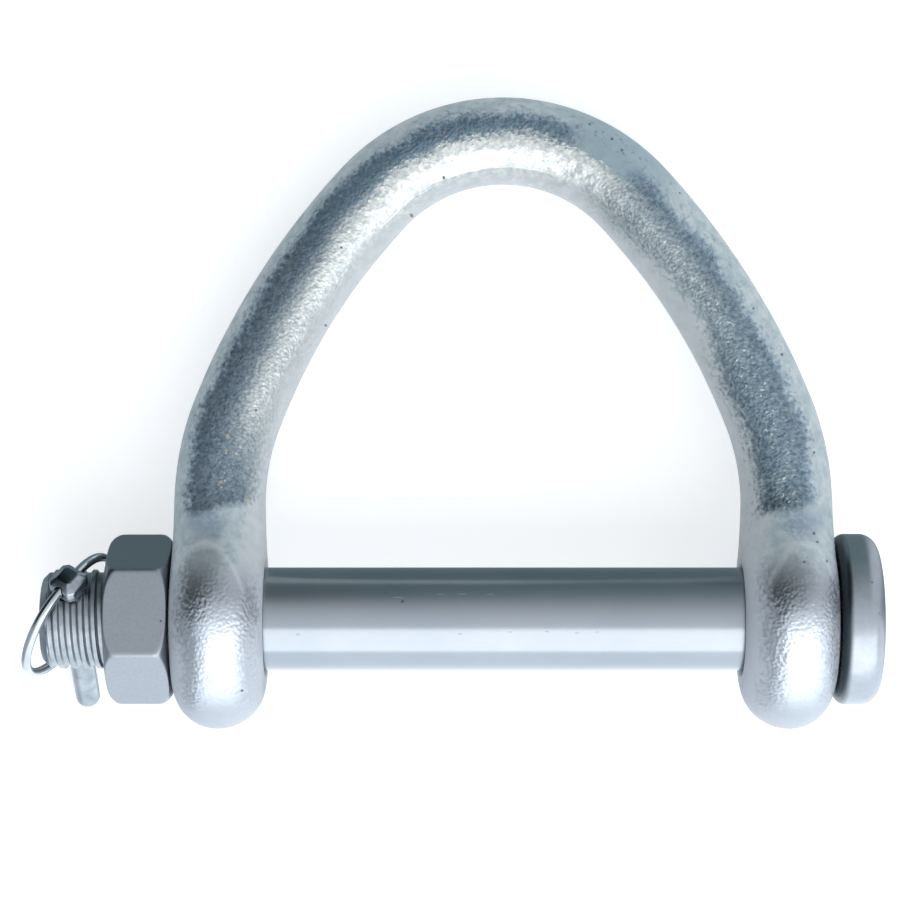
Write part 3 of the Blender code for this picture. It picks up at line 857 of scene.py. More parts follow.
def bow_material():
    """Hot-dip zinc: pale and matt on the sides, a crystalline crust along the front and back."""
    material, tree, shader, place = new_material("galvanised_forging")
    at = zinc_place(tree, place)
    patch = pale_patch(tree, at)
    band = crust_band(tree, at, patch)
    # bright: barer zinc on the crust, and partly a painted highlight where the key light's reflection falls
    bright = bright_and_highlight_share(tree, at)
    eye, eye_colour = eye_front(tree, at)
    # The painted dark reflection on the eye's front.
    eye_dark_reflection = oval(
        tree, times_plus(tree, at.side, EYE_DARK_RISE, at.rough_height), at.sideways, *EYE_DARK_SPOT)
    seam_across = times_plus(tree, at.wide_wander, SEAM_WANDER, at.across)
    seam = times(tree, window(tree, seam_across, *SEAM_ACROSS), window(tree, at.run, *SEAM_RUN))
    arch = eye_arch(tree, at.across, times_plus(tree, at.wander, ARCH_WANDER, at.height))
    arch_line = times(tree, window(tree, arch, *ARCH_LINE), window(tree, at.across, *ARCH_LINE_ACROSS))
    pits = use_group(tree, PITS, {"Vector": place, **BOW_PITS})
    dark = maths(tree, "MAXIMUM", pits["Mask"], front_marks(tree, at, DARK_PITS))
    rust = front_marks(tree, at, RUST_SPECKS)

    colour = blend_colour(tree, band, pale_zinc(tree, at, patch), crust_zinc(tree, at, band, bright))
    # Painted highlight along the seam's real ridge.
    colour = tint(tree, colour, *SEAM_PAINTED_HIGHLIGHT, seam)
    colour = tint(tree, colour, eye_colour, eye)
    for mark, mask in ((EYE_DARK_PAINTED_REFLECTION, eye_dark_reflection), (ARCH_PAINTED_HIGHLIGHT, arch_line), (PIT_DARK, dark), (RUST, rust)):
        colour = tint(tree, colour, *mark, mask)

    bare = maths(tree, "MAXIMUM", bright, times(tree, at.right_leg, RIGHT_LEG_METAL))
    metal = times(tree, band, times_plus(tree, bare, *CRUST_METAL))
    for mask, share in ((eye, EYE_METAL), (seam, SEAM_METAL)):
        metal = maths(tree, "MAXIMUM", metal, times(tree, mask, share))
    metal = times(tree, metal, minus(tree, 1.0, maths(tree, "MAXIMUM", rust, dark)))
    grain = fine_grain(tree, place, *BOW_GRAIN)
    roughness = times_plus(tree, metal, *BOW_ROUGHNESS)
    roughness = times_plus(tree, grain["Mask"], GRAIN_ROUGHNESS, roughness)
    relief = bow_relief(tree, at, band, bright, eye, (
        (seam, SEAM_BUMP), (arch_line, ARCH_BUMP), (dark, -MARK_DEPTH)))
    set_metal(tree, shader, colour, roughness, plus(tree, relief, grain["Height"]),
              times_plus(tree, metal, *BOW_METALLIC))
    return material


# Finishes of the other pieces. Clouds, tints and rises are given as for the bow, and what ends a
# plated finish is (roughness, size of the grain, depth of the grain).

SHANK_ZINC = (0.02, 0.5, (0.300, 0.330, 0.360), (0.325, 0.350, 0.375))
STAINED_ZINC = (0.0022, 0.55, (0.24, 0.27, 0.29), (0.40, 0.43, 0.46))
HEAD_PALE = (0.52, 0.56, 0.61)
HEAD_PALE_SHARE = 0.18
# Painted shade on the head's underside rounding, in the gap against the eye.
UNDER_HEAD_PAINTED_SHADE = ((0.015, 0.030, 0.035), 0.85)
SCRATCH_PALE = ((0.62, 0.66, 0.68), 0.40)
SCUFF_DARK = ((0.10, 0.13, 0.15), 0.28)
SPOT_DARK = ((0.06, 0.08, 0.09), 0.7)
HEAD_STAIN = 0.25
THREAD_STAIN = 0.55
SHANK_ROUGHNESS = 0.17
HEAD_ROUGHER = 0.12
THREAD_ROUGHER = 0.16
BOLT_GRAIN_ROUGHNESS = 0.08
BOLT_GRAIN_SIZE = 0.0006
BOLT_GRAIN_DEPTH = (0.000012, 0.000004)

# How far from the head's seat, and from the eye's face, the bolt's finish changes
HEAD_BLEND = 0.0005
UNDER_HEAD_START = 0.0008
UNDER_HEAD_END = 0.0027
THREAD_BLEND = 0.001

NUT_ZINC = (0.02, 0.5, (0.290, 0.310, 0.335), (0.315, 0.335, 0.360))
NUT_SPECKLE = (0.0006, 0.4, (0.265, 0.285, 0.31), (0.345, 0.365, 0.39))
NUT_SPECKLED = 0.5
NUT_SPOT_DARK = ((0.05, 0.07, 0.08), 0.75)
NUT_PLATING = (0.32, 0.0005, 0.000010)
PIN_ZINC = (0.0040, 0.5, (0.24, 0.27, 0.29), (0.38, 0.41, 0.44))
PIN_END_DARK = ((0.04, 0.06, 0.065), 0.75)
PIN_END_START = 0.00030
PIN_END_FULL = 0.00005
PIN_PLATING = (0.17, 0.0006, 0.000020)
WIRE_ZINC = (0.01, 0.5, (0.42, 0.45, 0.47), (0.55, 0.58, 0.60))
WIRE_PLATING = (0.06, 0.0005, 0.000004)


def bolt_material():
    """Galvanised steel: a smooth shank, and a rougher forged head and threaded end, with painted shade
    under the head.
    """
    material, tree, shader, place = new_material("galvanised_bolt")
    along = minus(tree, separated(tree, place)["X"], BOLT_PLACE.x)
    seat = HEAD_FACE_X - HEAD_THICKNESS
    head = smooth_step(tree, along, seat - HEAD_BLEND, seat + HEAD_BLEND)
    thread = smooth_step(tree, along, -EYE_FACE_X, THREAD_BLEND - EYE_FACE_X, 1.0, 0.0)
    # Painted shade under the head, where the eye hides it from the light.
    under_head_shade = times(
        tree, smooth_step(tree, along, seat + UNDER_HEAD_START, seat + UNDER_HEAD_END, 1.0, 0.0), head)
    stained = times_plus(tree, thread, THREAD_STAIN, times(tree, head, HEAD_STAIN))
    colour = blend_colour(
        tree, stained, clouds(tree, place, *SHANK_ZINC), clouds(tree, place, *STAINED_ZINC))
    colour = tint(tree, colour, *UNDER_HEAD_PAINTED_SHADE, under_head_shade)
    pale = maths(tree, "SUBTRACT", HEAD_PALE_SHARE, under_head_shade, clamp=True)
    colour = tint(tree, colour, HEAD_PALE, head, pale)
    colour = tint(tree, colour, *SCRATCH_PALE, spots(tree, place, SHANK_SCRATCHES, SCRATCH_STRETCH))
    colour = tint(tree, colour, *SCUFF_DARK, spots(tree, place, SHANK_SCUFFS, SCUFF_STRETCH))
    colour = tint(tree, colour, *SPOT_DARK, spots(tree, place, HEAD_SPOTS + SHANK_SPOTS))
    forged = maths(tree, "MAXIMUM", head, thread)
    grain = fine_grain(tree, place, BOLT_GRAIN_SIZE, times_plus(tree, forged, *BOLT_GRAIN_DEPTH))
    roughness = SHANK_ROUGHNESS
    for mask, rougher in (
        (head, HEAD_ROUGHER), (thread, THREAD_ROUGHER), (grain["Mask"], BOLT_GRAIN_ROUGHNESS),
    ):
        roughness = times_plus(tree, mask, rougher, roughness)
    set_metal(tree, shader, colour, roughness, grain["Height"])
    return material


def nut_material():
    """Zinc plated steel with a fine matt grain and a few tiny dark spots."""
    material, tree, shader, place = new_material("plated_nut")
    colour = blend_colour(
        tree, NUT_SPECKLED, clouds(tree, place, *NUT_ZINC), clouds(tree, place, *NUT_SPECKLE))
    colour = tint(tree, colour, *NUT_SPOT_DARK, spots(tree, place, NUT_SPOTS))
    set_plated(tree, shader, place, colour, *NUT_PLATING)
    return material


def pin_material():
    """Zinc plated steel: satin, with its end face darker in colour."""
    material, tree, shader, place = new_material("plated_pin")
    reach = vector_maths(tree, "SUBTRACT", place, tuple(PIN_PLACE))
    out = vector_maths(tree, "DOT_PRODUCT", reach, tuple(PIN_AXIS))
    top = PIN_SEAT + PIN_HEAD_LENGTH
    end_face = smooth_step(tree, out, top - PIN_END_START, top - PIN_END_FULL)
    colour = tint(tree, clouds(tree, place, *PIN_ZINC), *PIN_END_DARK, end_face)
    set_plated(tree, shader, place, colour, *PIN_PLATING)
    return material


def ring_material():
    """Bright plated spring wire."""
    material, tree, shader, place = new_material("bright_spring_wire")
    set_plated(tree, shader, place, clouds(tree, place, *WIRE_ZINC), *WIRE_PLATING)
    return material


# Bow

def circle_centre_inside(first, first_radius, second, second_radius, radius):
    """Centre of the arc of this radius that both circles touch from inside."""
    reach_first = radius - first_radius
    reach_second = radius - second_radius
    apart = (second - first).length
    along = (reach_first**2 - reach_second**2 + apart**2) / (2 * apart)
    across = math.sqrt(reach_first**2 - along**2)
    forward = (second - first) / apart
    return first + forward * along + Vector((forward.y, -forward.x)) * across


def bow_arcs():
    """The arcs of the bar's centre line on the +X side, as (centre, radius, start angle, start, end)."""
    crown = Vector((0.0, CROWN_HEIGHT - CROWN_RADIUS))
    shoulder = Vector((LEG_X - SHOULDER_RADIUS, LEG_LENGTH))
    flank = circle_centre_inside(crown, CROWN_RADIUS, shoulder, SHOULDER_RADIUS, FLANK_RADIUS)
    low = math.atan2(*(shoulder - flank).yx)
    high = math.atan2(*(crown - flank).yx)
    arcs = []
    length = LEG_LENGTH
    for centre, radius, start, end in (
        (shoulder, SHOULDER_RADIUS, 0.0, low),
        (flank, FLANK_RADIUS, low, high),
        (crown, CROWN_RADIUS, high, math.pi / 2),
    ):
        reach = radius * (end - start)
        arcs.append((centre, radius, start, length, length + reach))
        length += reach
    return arcs


BOW_ARCS = bow_arcs()
HALF_BOW = BOW_ARCS[-1][-1]


def on_bow_line(length):
    """Point and outward normal at a length up the centre line from the bolt's axis."""
    if length <= LEG_LENGTH:
        return Vector((LEG_X, length)), Vector((1.0, 0.0))
    for centre, radius, start, low, high in BOW_ARCS:
        if length <= high or high == HALF_BOW:
            angle = start + (length - low) / radius
            normal = Vector((math.cos(angle), math.sin(angle)))
            return centre + normal * radius, normal


def widening(length):
    """How much further than round the inner side of a leg stands out."""
    share = (length - WIDENING_START) / (WIDENING_END - WIDENING_START)
    share = max(0.0, min(1.0, share))
    return LEG_WIDENING * share * share * (3 - 2 * share)


def eye_stations():
    """Half the flat core of an eye and its neck, as (length, depth, turn) stations."""
    fillet = NECK_RADIUS + BAR_RADIUS
    reach = NECK_RADIUS + EYE_RADIUS
    neck_top = math.sqrt(reach**2 - fillet**2)
    meeting = math.asin(neck_top / reach)
    neck = [
        (neck_top - fillet * math.sin(turn), fillet - fillet * math.cos(turn), turn)
        for turn in arc_steps(0.0, meeting, NECK_RADIUS, STATION_STEP)
    ]
    eye = [
        (EYE_CORE * math.sin(turn), EYE_CORE * math.cos(turn), turn)
        for turn in arc_steps(meeting, -math.pi / 2, EYE_RADIUS, STATION_STEP)[1:]
    ]
    return neck, eye


def bow_blank():
    """The smooth bow as one closed mesh, with its own coordinates kept on its points.

    bow_across runs from -1 inside the bow to 1 outside, bow_front from -1 at the back to 1 at the
    front. bow_height is the length up the leg from the bolt's axis, bow_run the length from the
    crown towards the +X eye, and skin is 0 where the bolt passes.
    """
    bm = bmesh.new()
    layers = {
        name: bm.verts.layers.float.new(name)
        for name in ("bow_across", "bow_front", "bow_height", "bow_run", "skin")
    }
    half = BAR_SIDES // 2
    rolls = [math.pi * (j / half - 0.5) for j in range(half + 1)]
    neck, eye = eye_stations()
    stations = neck + eye
    neck_top = neck[0][0]

    def vertex(side, length, depth, across, skin=1.0):
        point, normal = on_bow_line(length if length > 0 else length * EYE_STRETCH)
        widened = across - widening(length) * max(0.0, -across / BAR_RADIUS)
        place = point + normal * widened
        v = bm.verts.new((side * place.x, place.y, depth))
        v[layers["bow_across"]] = across / BAR_RADIUS
        v[layers["bow_front"]] = max(-1.0, min(1.0, depth / BAR_RADIUS))
        v[layers["bow_height"]] = length
        v[layers["bow_run"]] = side * (HALF_BOW - length)
        v[layers["skin"]] = skin
        return v

    for side in (1.0, -1.0):
        for face in (1.0, -1.0):
            fill(bm, [[
                vertex(
                    side,
                    length + BAR_RADIUS * math.cos(roll) * math.sin(turn),
                    face * (depth + BAR_RADIUS * math.cos(roll) * math.cos(turn)),
                    BAR_RADIUS * math.sin(roll),
                ) for roll in rolls
            ] for length, depth, turn in stations], closed=False)

        outline = [(length, depth) for length, depth, turn in stations]
        outline += [(length, -depth) for length, depth in reversed(outline[1:-1])]
        spread = [
            math.pi / 2 - (math.pi / 2 - neck[-1][2]) * i / (len(neck) - 1)
            for i in range(len(neck))
        ] + [turn for length, depth, turn in eye]
        spread += [math.pi - turn for turn in reversed(spread[1:-1])]

        def loop(share, radius, across, skin):
            """A loop between the flat side's outline, at 0, and the bolt hole, at 1."""
            return [
                vertex(
                    side,
                    length + (radius * math.sin(turn) - length) * share,
                    depth + (radius * math.cos(turn) - depth) * share,
                    across, skin,
                )
                for (length, depth), turn in zip(outline, spread)
            ]

        wide = HOLE_RADIUS + HOLE_CHAMFER
        shares = steps(0.0, 1.0, FACE_RINGS)
        rows = [loop(share, wide, BAR_RADIUS, 1.0 - share) for share in shares]
        inner = BAR_RADIUS - HOLE_CHAMFER
        rows += [loop(1.0, HOLE_RADIUS, across, 0.0) for across in steps(inner, -inner, HOLE_RINGS)]
        rows += [loop(share, wide, -BAR_RADIUS, 1.0 - share) for share in reversed(shares)]
        fill(bm, rows)

    lengths = steps(neck_top, HALF_BOW, math.ceil((HALF_BOW - neck_top) / STATION_STEP))
    places = [(1.0, length) for length in lengths] + [(-1.0, length) for length in reversed(lengths[:-1])]
    turns = [2 * math.pi * j / BAR_SIDES for j in range(BAR_SIDES)]
    fill(bm, [[
        vertex(side, length, BAR_RADIUS * math.sin(turn), BAR_RADIUS * math.cos(turn))
        for turn in turns
    ] for side, length in places])
    return mesh_object("bow_forging", bm)


# Forged skin

SKIN_MARGIN = 0.00001
CRUST_LEVELS = (0.28, 0.72)
CRUST_FEET = (0.0255, 0.0290)
CRUST_SOFTNESS = 0.35
RIPPLE_LEVELS = (0.3, 0.7)
RIPPLE_RISE = 0.0025
RIPPLE_ACROSS = (0.08, 0.85, 0.35)
SEAM_WAVER_SIZE = 0.006
SEAM_WAVER = 0.34
SEAM_HALF_WIDTH = 0.035
SEAM_SOFTNESS = 0.07
SEAM_FULL_FROM = -0.024
SEAM_FULL_TO = 0.004
ARCH_RIDGE = (0.0, 0.0006, 0.0014)
ARCH_RIDGE_ACROSS = (0.1, 0.65, 0.3)

# Detail, roughness and distortion of its noises
SKIN_NOISE = (2.0, 0.5, 0.0)
RIPPLE_NOISE = (1.0, 0.5, 0.8)


def forged_skin_tree():
    """The skin of a forging: lumps, a crust and ripples are sunk into it, and two ridges rise from it.

    The margin keeps the skin within the solid where the noise is at its lowest.
    """
    tree, given, result = new_shape_tree("Forged skin", [
        ("Lump Size", FLOAT, 0.009), ("Lump Depth", FLOAT, 0.0002),
        ("Crust Size", FLOAT, 0.002), ("Crust Depth", FLOAT, 0.0001), ("Crust Half Width", FLOAT, 0.6),
        ("Ripple Size", FLOAT, 0.0025), ("Ripple Depth", FLOAT, 0.0001),
        ("Ridge Height", FLOAT, 0.00015), ("Seam Run Start", FLOAT, -0.036),
        ("Seam Run End", FLOAT, 0.012), ("Seam Across", FLOAT, -0.68),
    ])
    place = add(tree, "GeometryNodeInputPosition").outputs[0]
    normal = add(tree, "GeometryNodeInputNormal").outputs[0]

    def attribute(name):
        return add(tree, "GeometryNodeInputNamedAttribute", {"Name": name}, data_type="FLOAT").outputs[0]

    def unevenness(size, kind=SKIN_NOISE):
        return noise(tree, place, maths(tree, "DIVIDE", 1.0, size), *kind)

    across = attribute("bow_across")
    height = attribute("bow_height")
    run = attribute("bow_run")
    lumps = times(tree, unevenness(given["Lump Size"]), given["Lump Depth"])

    band = times(tree, window(tree, across, 0.0, given["Crust Half Width"], CRUST_SOFTNESS),
                 smooth_step(tree, height, *CRUST_FEET))
    crust = smooth_step(tree, unevenness(given["Crust Size"]), *CRUST_LEVELS)
    crust = times(tree, crust, band, given["Crust Depth"])

    arch = eye_arch(tree, across, height)
    eye = times(tree, smooth_step(tree, arch, 0.0, RIPPLE_RISE), window(tree, across, *RIPPLE_ACROSS))
    ripple = smooth_step(tree, unevenness(given["Ripple Size"], RIPPLE_NOISE), *RIPPLE_LEVELS)
    ripple = times(tree, ripple, eye, given["Ripple Depth"])

    wavering = times_plus(
        tree, unevenness(SEAM_WAVER_SIZE), SEAM_WAVER, minus(tree, across, SEAM_WAVER / 2))
    seam = times(
        tree, window(tree, wavering, given["Seam Across"], SEAM_HALF_WIDTH, SEAM_SOFTNESS),
        smooth_step(tree, run, given["Seam Run Start"], SEAM_FULL_FROM),
        smooth_step(tree, run, SEAM_FULL_TO, given["Seam Run End"], 1.0, 0.0),
    )
    arch_ridge = times(tree, window(tree, arch, *ARCH_RIDGE), window(tree, across, *ARCH_RIDGE_ACROSS))
    ridges = times(tree, maths(tree, "MAXIMUM", seam, arch_ridge), given["Ridge Height"])

    depth = minus(tree, plus(tree, plus(tree, lumps, crust), ripple), ridges)
    depth = times(tree, plus(tree, depth, SKIN_MARGIN), attribute("skin"))
    offset = vector_maths(tree, "SCALE", normal, scale=times(tree, depth, -1.0))
    moved = add(tree, "GeometryNodeSetPosition", {"Geometry": given["Geometry"], "Offset": offset})
    return end_shape_tree(tree, moved.outputs[0], given, result)


def make_bow(finish):
    blank = bow_blank()
    run_nodes(blank, forged_skin_tree(), {
        "Lump Size": 0.011, "Lump Depth": 0.00016, "Crust Size": 0.0021, "Crust Depth": 0.00007,
        "Crust Half Width": 0.66, "Ripple Size": 0.0020, "Ripple Depth": 0.00006,
        "Ridge Height": 0.00020, "Seam Run Start": -0.040, "Seam Run End": 0.014,
        "Seam Across": -0.68, "Finish": finish,
    })
    bow = made_plain(blank, LYING)
    join_frame(bow, "bow")


# Bolt

def thread_tree():
    """Cuts a right-hand screw thread, with rounded crests and roots, into a turned blank."""
    tree, given, result = new_shape_tree("Screw thread", [
        ("Radius", FLOAT, 0.012), ("Pitch", FLOAT, 0.003), ("Depth", FLOAT, 0.001),
        ("Crest Share", FLOAT, 0.3), ("Root Share", FLOAT, 0.3), ("Start", FLOAT, 0.0),
    ])
    parts = separated(tree, add(tree, "GeometryNodeInputPosition").outputs[0])
    turns = maths(tree, "DIVIDE", maths(tree, "ARCTAN2", parts["Z"], parts["Y"]), 2 * math.pi)
    phase = minus(tree, maths(tree, "DIVIDE", parts["X"], given["Pitch"]), turns)
    wave = times(tree, maths(tree, "PINGPONG", phase, 0.5), 2.0)
    groove = smooth_step(tree, wave, given["Crest Share"], minus(tree, 1.0, given["Root Share"]))
    run_out = plus(tree, given["Start"], given["Pitch"])
    fade = smooth_step(tree, parts["X"], given["Start"], run_out, 1.0, 0.0)
    limit = minus(tree, given["Radius"], times(tree, groove, given["Depth"], fade))
    moved = add(tree, "GeometryNodeSetPosition", {
        "Geometry": given["Geometry"], "Selection": maths(tree, "LESS_THAN", parts["X"], run_out),
        "Position": drawn_in(tree, parts, limit),
    })
    return end_shape_tree(tree, moved.outputs[0], given, result)


def bolt_profile():
    """From the head's flat face over its rim and down the shank to the threaded end."""
    seat = HEAD_FACE_X - HEAD_THICKNESS
    flat = HEAD_RADIUS - HEAD_OUTER_ROUNDING
    profile = [(HEAD_FACE_X, radius) for radius in steps(0.0, flat, HEAD_FACE_RINGS)[:-1]]
    for turn in steps(0.0, math.pi / 2, HEAD_RIM_RINGS):
        profile.append((
            HEAD_FACE_X - HEAD_OUTER_ROUNDING * (1 - math.cos(turn)),
            flat + HEAD_OUTER_ROUNDING * math.sin(turn),
        ))
    for turn in steps(0.0, math.pi / 2, HEAD_UNDER_RINGS):
        profile.append((
            seat + HEAD_UNDER_ROUNDING * (1 - math.sin(turn)),
            HEAD_RADIUS - HEAD_UNDER_ROUNDING * (1 - math.cos(turn)),
        ))
    for turn in steps(0.0, math.pi / 2, FILLET_RINGS):
        profile.append((
            seat - HEAD_FILLET * (1 - math.cos(turn)),
            BOLT_RADIUS + HEAD_FILLET * (1 - math.sin(turn)),
        ))
    thread_start = -EYE_FACE_X + THREAD_INTO_EYE
    step = BOLT_RADIUS - THREAD_RADIUS
    shank = steps(profile[-1][0], thread_start + step, SHANK_RINGS)
    profile += [(x, BOLT_RADIUS) for x in shank[1:]]
    thread_end = BOLT_END_X + THREAD_CHAMFER
    count = math.ceil((thread_start - thread_end) / THREAD_STEP)
    profile += [(x, THREAD_RADIUS) for x in steps(thread_start, thread_end, count)]
    for share in steps(0.0, 1.0, CHAMFER_RINGS)[1:]:
        cut = THREAD_CHAMFER * share
        profile.append((thread_end - cut, THREAD_RADIUS - cut))
    end_radius = THREAD_RADIUS - THREAD_CHAMFER
    profile += [(BOLT_END_X, radius) for radius in steps(end_radius, 0.0, BOLT_END_RINGS)[1:]]
    return profile


def pin_matrix():
    """The linch pin's own axes: X along the ring's pivot, Z out of its head."""
    side = PIN_AXIS.cross(RING_AXIS)
    axes = Matrix((RING_AXIS, side, PIN_AXIS)).transposed()
    return Matrix.Translation(PIN_PLACE) @ axes.to_4x4()


def round_bar(name, radius, low, high, sides):
    """A plain round bar along Z."""
    bar = turned(name, [(high, 0.0), (high, radius), (low, radius), (low, 0.0)], sides)
    bar.data.transform(Matrix.Rotation(-math.pi / 2, 4, "Y"))
    return bar


def make_bolt(finish):
    blank = turned("bolt_turned", bolt_profile(), TURNED_SIDES)
    run_nodes(blank, thread_tree(), {
        "Radius": THREAD_RADIUS, "Pitch": THREAD_PITCH, "Depth": THREAD_DEPTH,
        "Crest Share": THREAD_CREST_SHARE, "Root Share": THREAD_ROOT_SHARE, "Start": -EYE_FACE_X,
        "Finish": finish,
    })
    reach = THREAD_RADIUS + CUT_MARGIN
    drill = round_bar("pin_drill", PIN_RADIUS + SEAT_GAP, -reach, reach, PIN_SIDES)
    drill.matrix_world = LYING.inverted() @ pin_matrix()
    boolean(blank, drill, "DIFFERENCE")
    bolt = made_plain(blank, LYING, [drill])
    bolt.data.set_sharp_from_angle(angle=math.radians(SHARP_EDGE_DEGREES))
    join_frame(bolt, "bolt")


# Nut

def nut_blank():
    """A turned ring whose outer rows are wide enough to be cut to a hexagon."""
    wide = NUT_ACROSS_FLATS / math.sqrt(3) + CUT_MARGIN
    bore = THREAD_RADIUS + SEAT_GAP
    mouth = bore + NUT_BORE_CHAMFER
    half = NUT_THICKNESS / 2
    rows = [(0.0, r) for r in steps(mouth, NUT_FACE_RADIUS, NUT_FACE_RINGS)]
    rows += [
        ((half - NUT_END_EASE) * math.cos(turn) - half, wide)
        for turn in steps(0.0, math.pi, NUT_SIDE_RINGS)
    ]
    rows += [(-NUT_THICKNESS, r) for r in steps(NUT_FACE_RADIUS, mouth, NUT_FACE_RINGS)]
    rows += [
        (x, bore) for x in steps(NUT_BORE_CHAMFER - NUT_THICKNESS, -NUT_BORE_CHAMFER, NUT_BORE_RINGS)
    ]
    bm = bmesh.new()
    turns = [2 * math.pi * j / NUT_SIDES for j in range(NUT_SIDES)]
    loops = [[bm.verts.new((x, r * math.cos(turn), r * math.sin(turn))) for turn in turns] for x, r in rows]
    fill(bm, loops + loops[:1])
    return mesh_object("nut_hexagon", bm)


def hexagon_tree():
    """Cuts a turned blank along X to a hexagon whose corners fall away in a curve at both ends."""
    tree, given, result = new_shape_tree("Chamfered hexagon", [
        ("Across Flats", FLOAT, 0.036), ("Thickness", FLOAT, 0.015), ("Face Radius", FLOAT, 0.0156),
        ("Chamfer Depth", FLOAT, 0.002), ("Chamfer Curve", FLOAT, 1.0), ("Rounding", FLOAT, 0.0004),
    ])
    parts = separated(tree, add(tree, "GeometryNodeInputPosition").outputs[0])
    apothem = times(tree, given["Across Flats"], 0.5)
    turn = maths(tree, "ARCTAN2", parts["Y"], parts["Z"])
    flats = []
    for i in range(6):
        facing = maths(tree, "COSINE", minus(tree, turn, i * math.pi / 3))
        flats.append(maths(tree, "DIVIDE", apothem, maths(tree, "MAXIMUM", facing, LEAST_FACING)))
    hexagon, *others = flats
    for flat in others:
        hexagon = maths(tree, "SMOOTH_MIN", hexagon, flat, given["Rounding"])
    inset = times(tree, parts["X"], -1.0)
    inset = maths(tree, "MINIMUM", inset, minus(tree, given["Thickness"], inset))
    rise = minus(tree, times(tree, apothem, 2 / math.sqrt(3)), given["Face Radius"])
    share_in = maths(tree, "DIVIDE", maths(tree, "MAXIMUM", inset, 0.0), given["Chamfer Depth"])
    share_in = maths(tree, "POWER", share_in, maths(tree, "DIVIDE", 1.0, given["Chamfer Curve"]))
    chamfer = times_plus(tree, rise, share_in, given["Face Radius"])
    limit = maths(tree, "SMOOTH_MIN", hexagon, chamfer, given["Rounding"])
    moved = add(tree, "GeometryNodeSetPosition", {
        "Geometry": given["Geometry"], "Position": drawn_in(tree, parts, limit)})
    return end_shape_tree(tree, moved.outputs[0], given, result)


def make_nut(finish):
    blank = nut_blank()
    run_nodes(blank, hexagon_tree(), {
        "Across Flats": NUT_ACROSS_FLATS, "Thickness": NUT_THICKNESS, "Face Radius": NUT_FACE_RADIUS,
        "Chamfer Depth": NUT_CHAMFER_DEPTH, "Chamfer Curve": NUT_CHAMFER_CURVE,
        "Rounding": NUT_ROUNDING, "Finish": finish,
    })
    turned_nut = Matrix.Rotation(-math.radians(NUT_TURN_DEGREES), 4, "X")
    nut = made_plain(blank, LYING @ Matrix.Translation((NUT_SEAT_X, 0.0, 0.0)) @ turned_nut)
    join_frame(nut, "nut")


# Linch pin

def cut_square(width, corner_cut):
    """Corners of a square with its own corners cut off, anticlockwise."""
    outer = width / 2
    inner = outer - corner_cut
    return [
        (outer, -inner), (outer, inner), (inner, outer), (-inner, outer),
        (-outer, inner), (-outer, -inner), (-inner, -outer), (inner, -outer),
    ]


def pin_head():
    """The faceted head, from the face on the bolt up its straight sides to the sloped end."""
    edge_width = PIN_HEAD_WIDTH - 2 * PIN_HEAD_EDGE_CUT
    top = PIN_SEAT + PIN_HEAD_LENGTH
    levels = (
        (PIN_SEAT, edge_width, PIN_HEAD_CORNER_CUT),
        (PIN_SEAT + PIN_HEAD_EDGE_CUT, PIN_HEAD_WIDTH, PIN_HEAD_CORNER_CUT),
        (top - PIN_HEAD_SLOPE_LENGTH, PIN_HEAD_WIDTH, PIN_HEAD_CORNER_CUT),
        (top, PIN_HEAD_END_WIDTH, PIN_HEAD_EDGE_CUT),
    )
    bm = bmesh.new()
    loops = [
        [bm.verts.new((x, y, z)) for x, y in cut_square(width, corner_cut)]
        for z, width, corner_cut in levels
    ]
    fill(bm, loops)
    bm.faces.new(loops[0][::-1])
    bm.faces.new(loops[-1])
    head = mesh_object("pin_head", bm)
    bevel = head.modifiers.new("soft_edges", "BEVEL")
    bevel.width = PIN_HEAD_ROUNDING
    bevel.segments = PIN_HEAD_EDGE_RINGS
    bevel.limit_method = "ANGLE"
    bevel.angle_limit = math.radians(PIN_HEAD_ROUNDED_FROM_DEGREES)
    return head


def make_pin(finish):
    tip = THREAD_RADIUS + PIN_REACH - TIP_EASE
    inside_head = PIN_SEAT + 2 * PIN_HEAD_EDGE_CUT
    profile = [(inside_head, 0.0)]
    profile += [(z, PIN_RADIUS) for z in steps(inside_head, PIN_RADIUS - tip, PIN_RINGS)]
    for turn in steps(0.0, math.pi / 2, PIN_TIP_RINGS)[1:]:
        profile.append((PIN_RADIUS - tip - PIN_RADIUS * math.sin(turn), PIN_RADIUS * math.cos(turn)))
    shank = turned("linch_pin_forged", profile, PIN_SIDES)
    shank.data.transform(Matrix.Rotation(-math.pi / 2, 4, "Y"))
    head = pin_head()
    boolean(shank, head, "UNION")
    hole = WIRE_RADIUS + SEAT_GAP
    drill = turned("ring_drill", [
        (PIN_HEAD_WIDTH, 0.0), (PIN_HEAD_WIDTH, hole), (-PIN_HEAD_WIDTH, hole), (-PIN_HEAD_WIDTH, 0.0),
    ], PIN_SIDES)
    drill.location = (0.0, 0.0, PIN_SEAT + PIN_HEAD_LENGTH / 2)
    boolean(shank, drill, "DIFFERENCE")
    shank.data.materials.append(finish)
    pin = made_plain(shank, pin_matrix(), [head, drill])
    pin.data.set_sharp_from_angle(angle=math.radians(SHARP_PIN_EDGE_DEGREES))
    join_frame(pin, "linch_pin")


# Snap ring

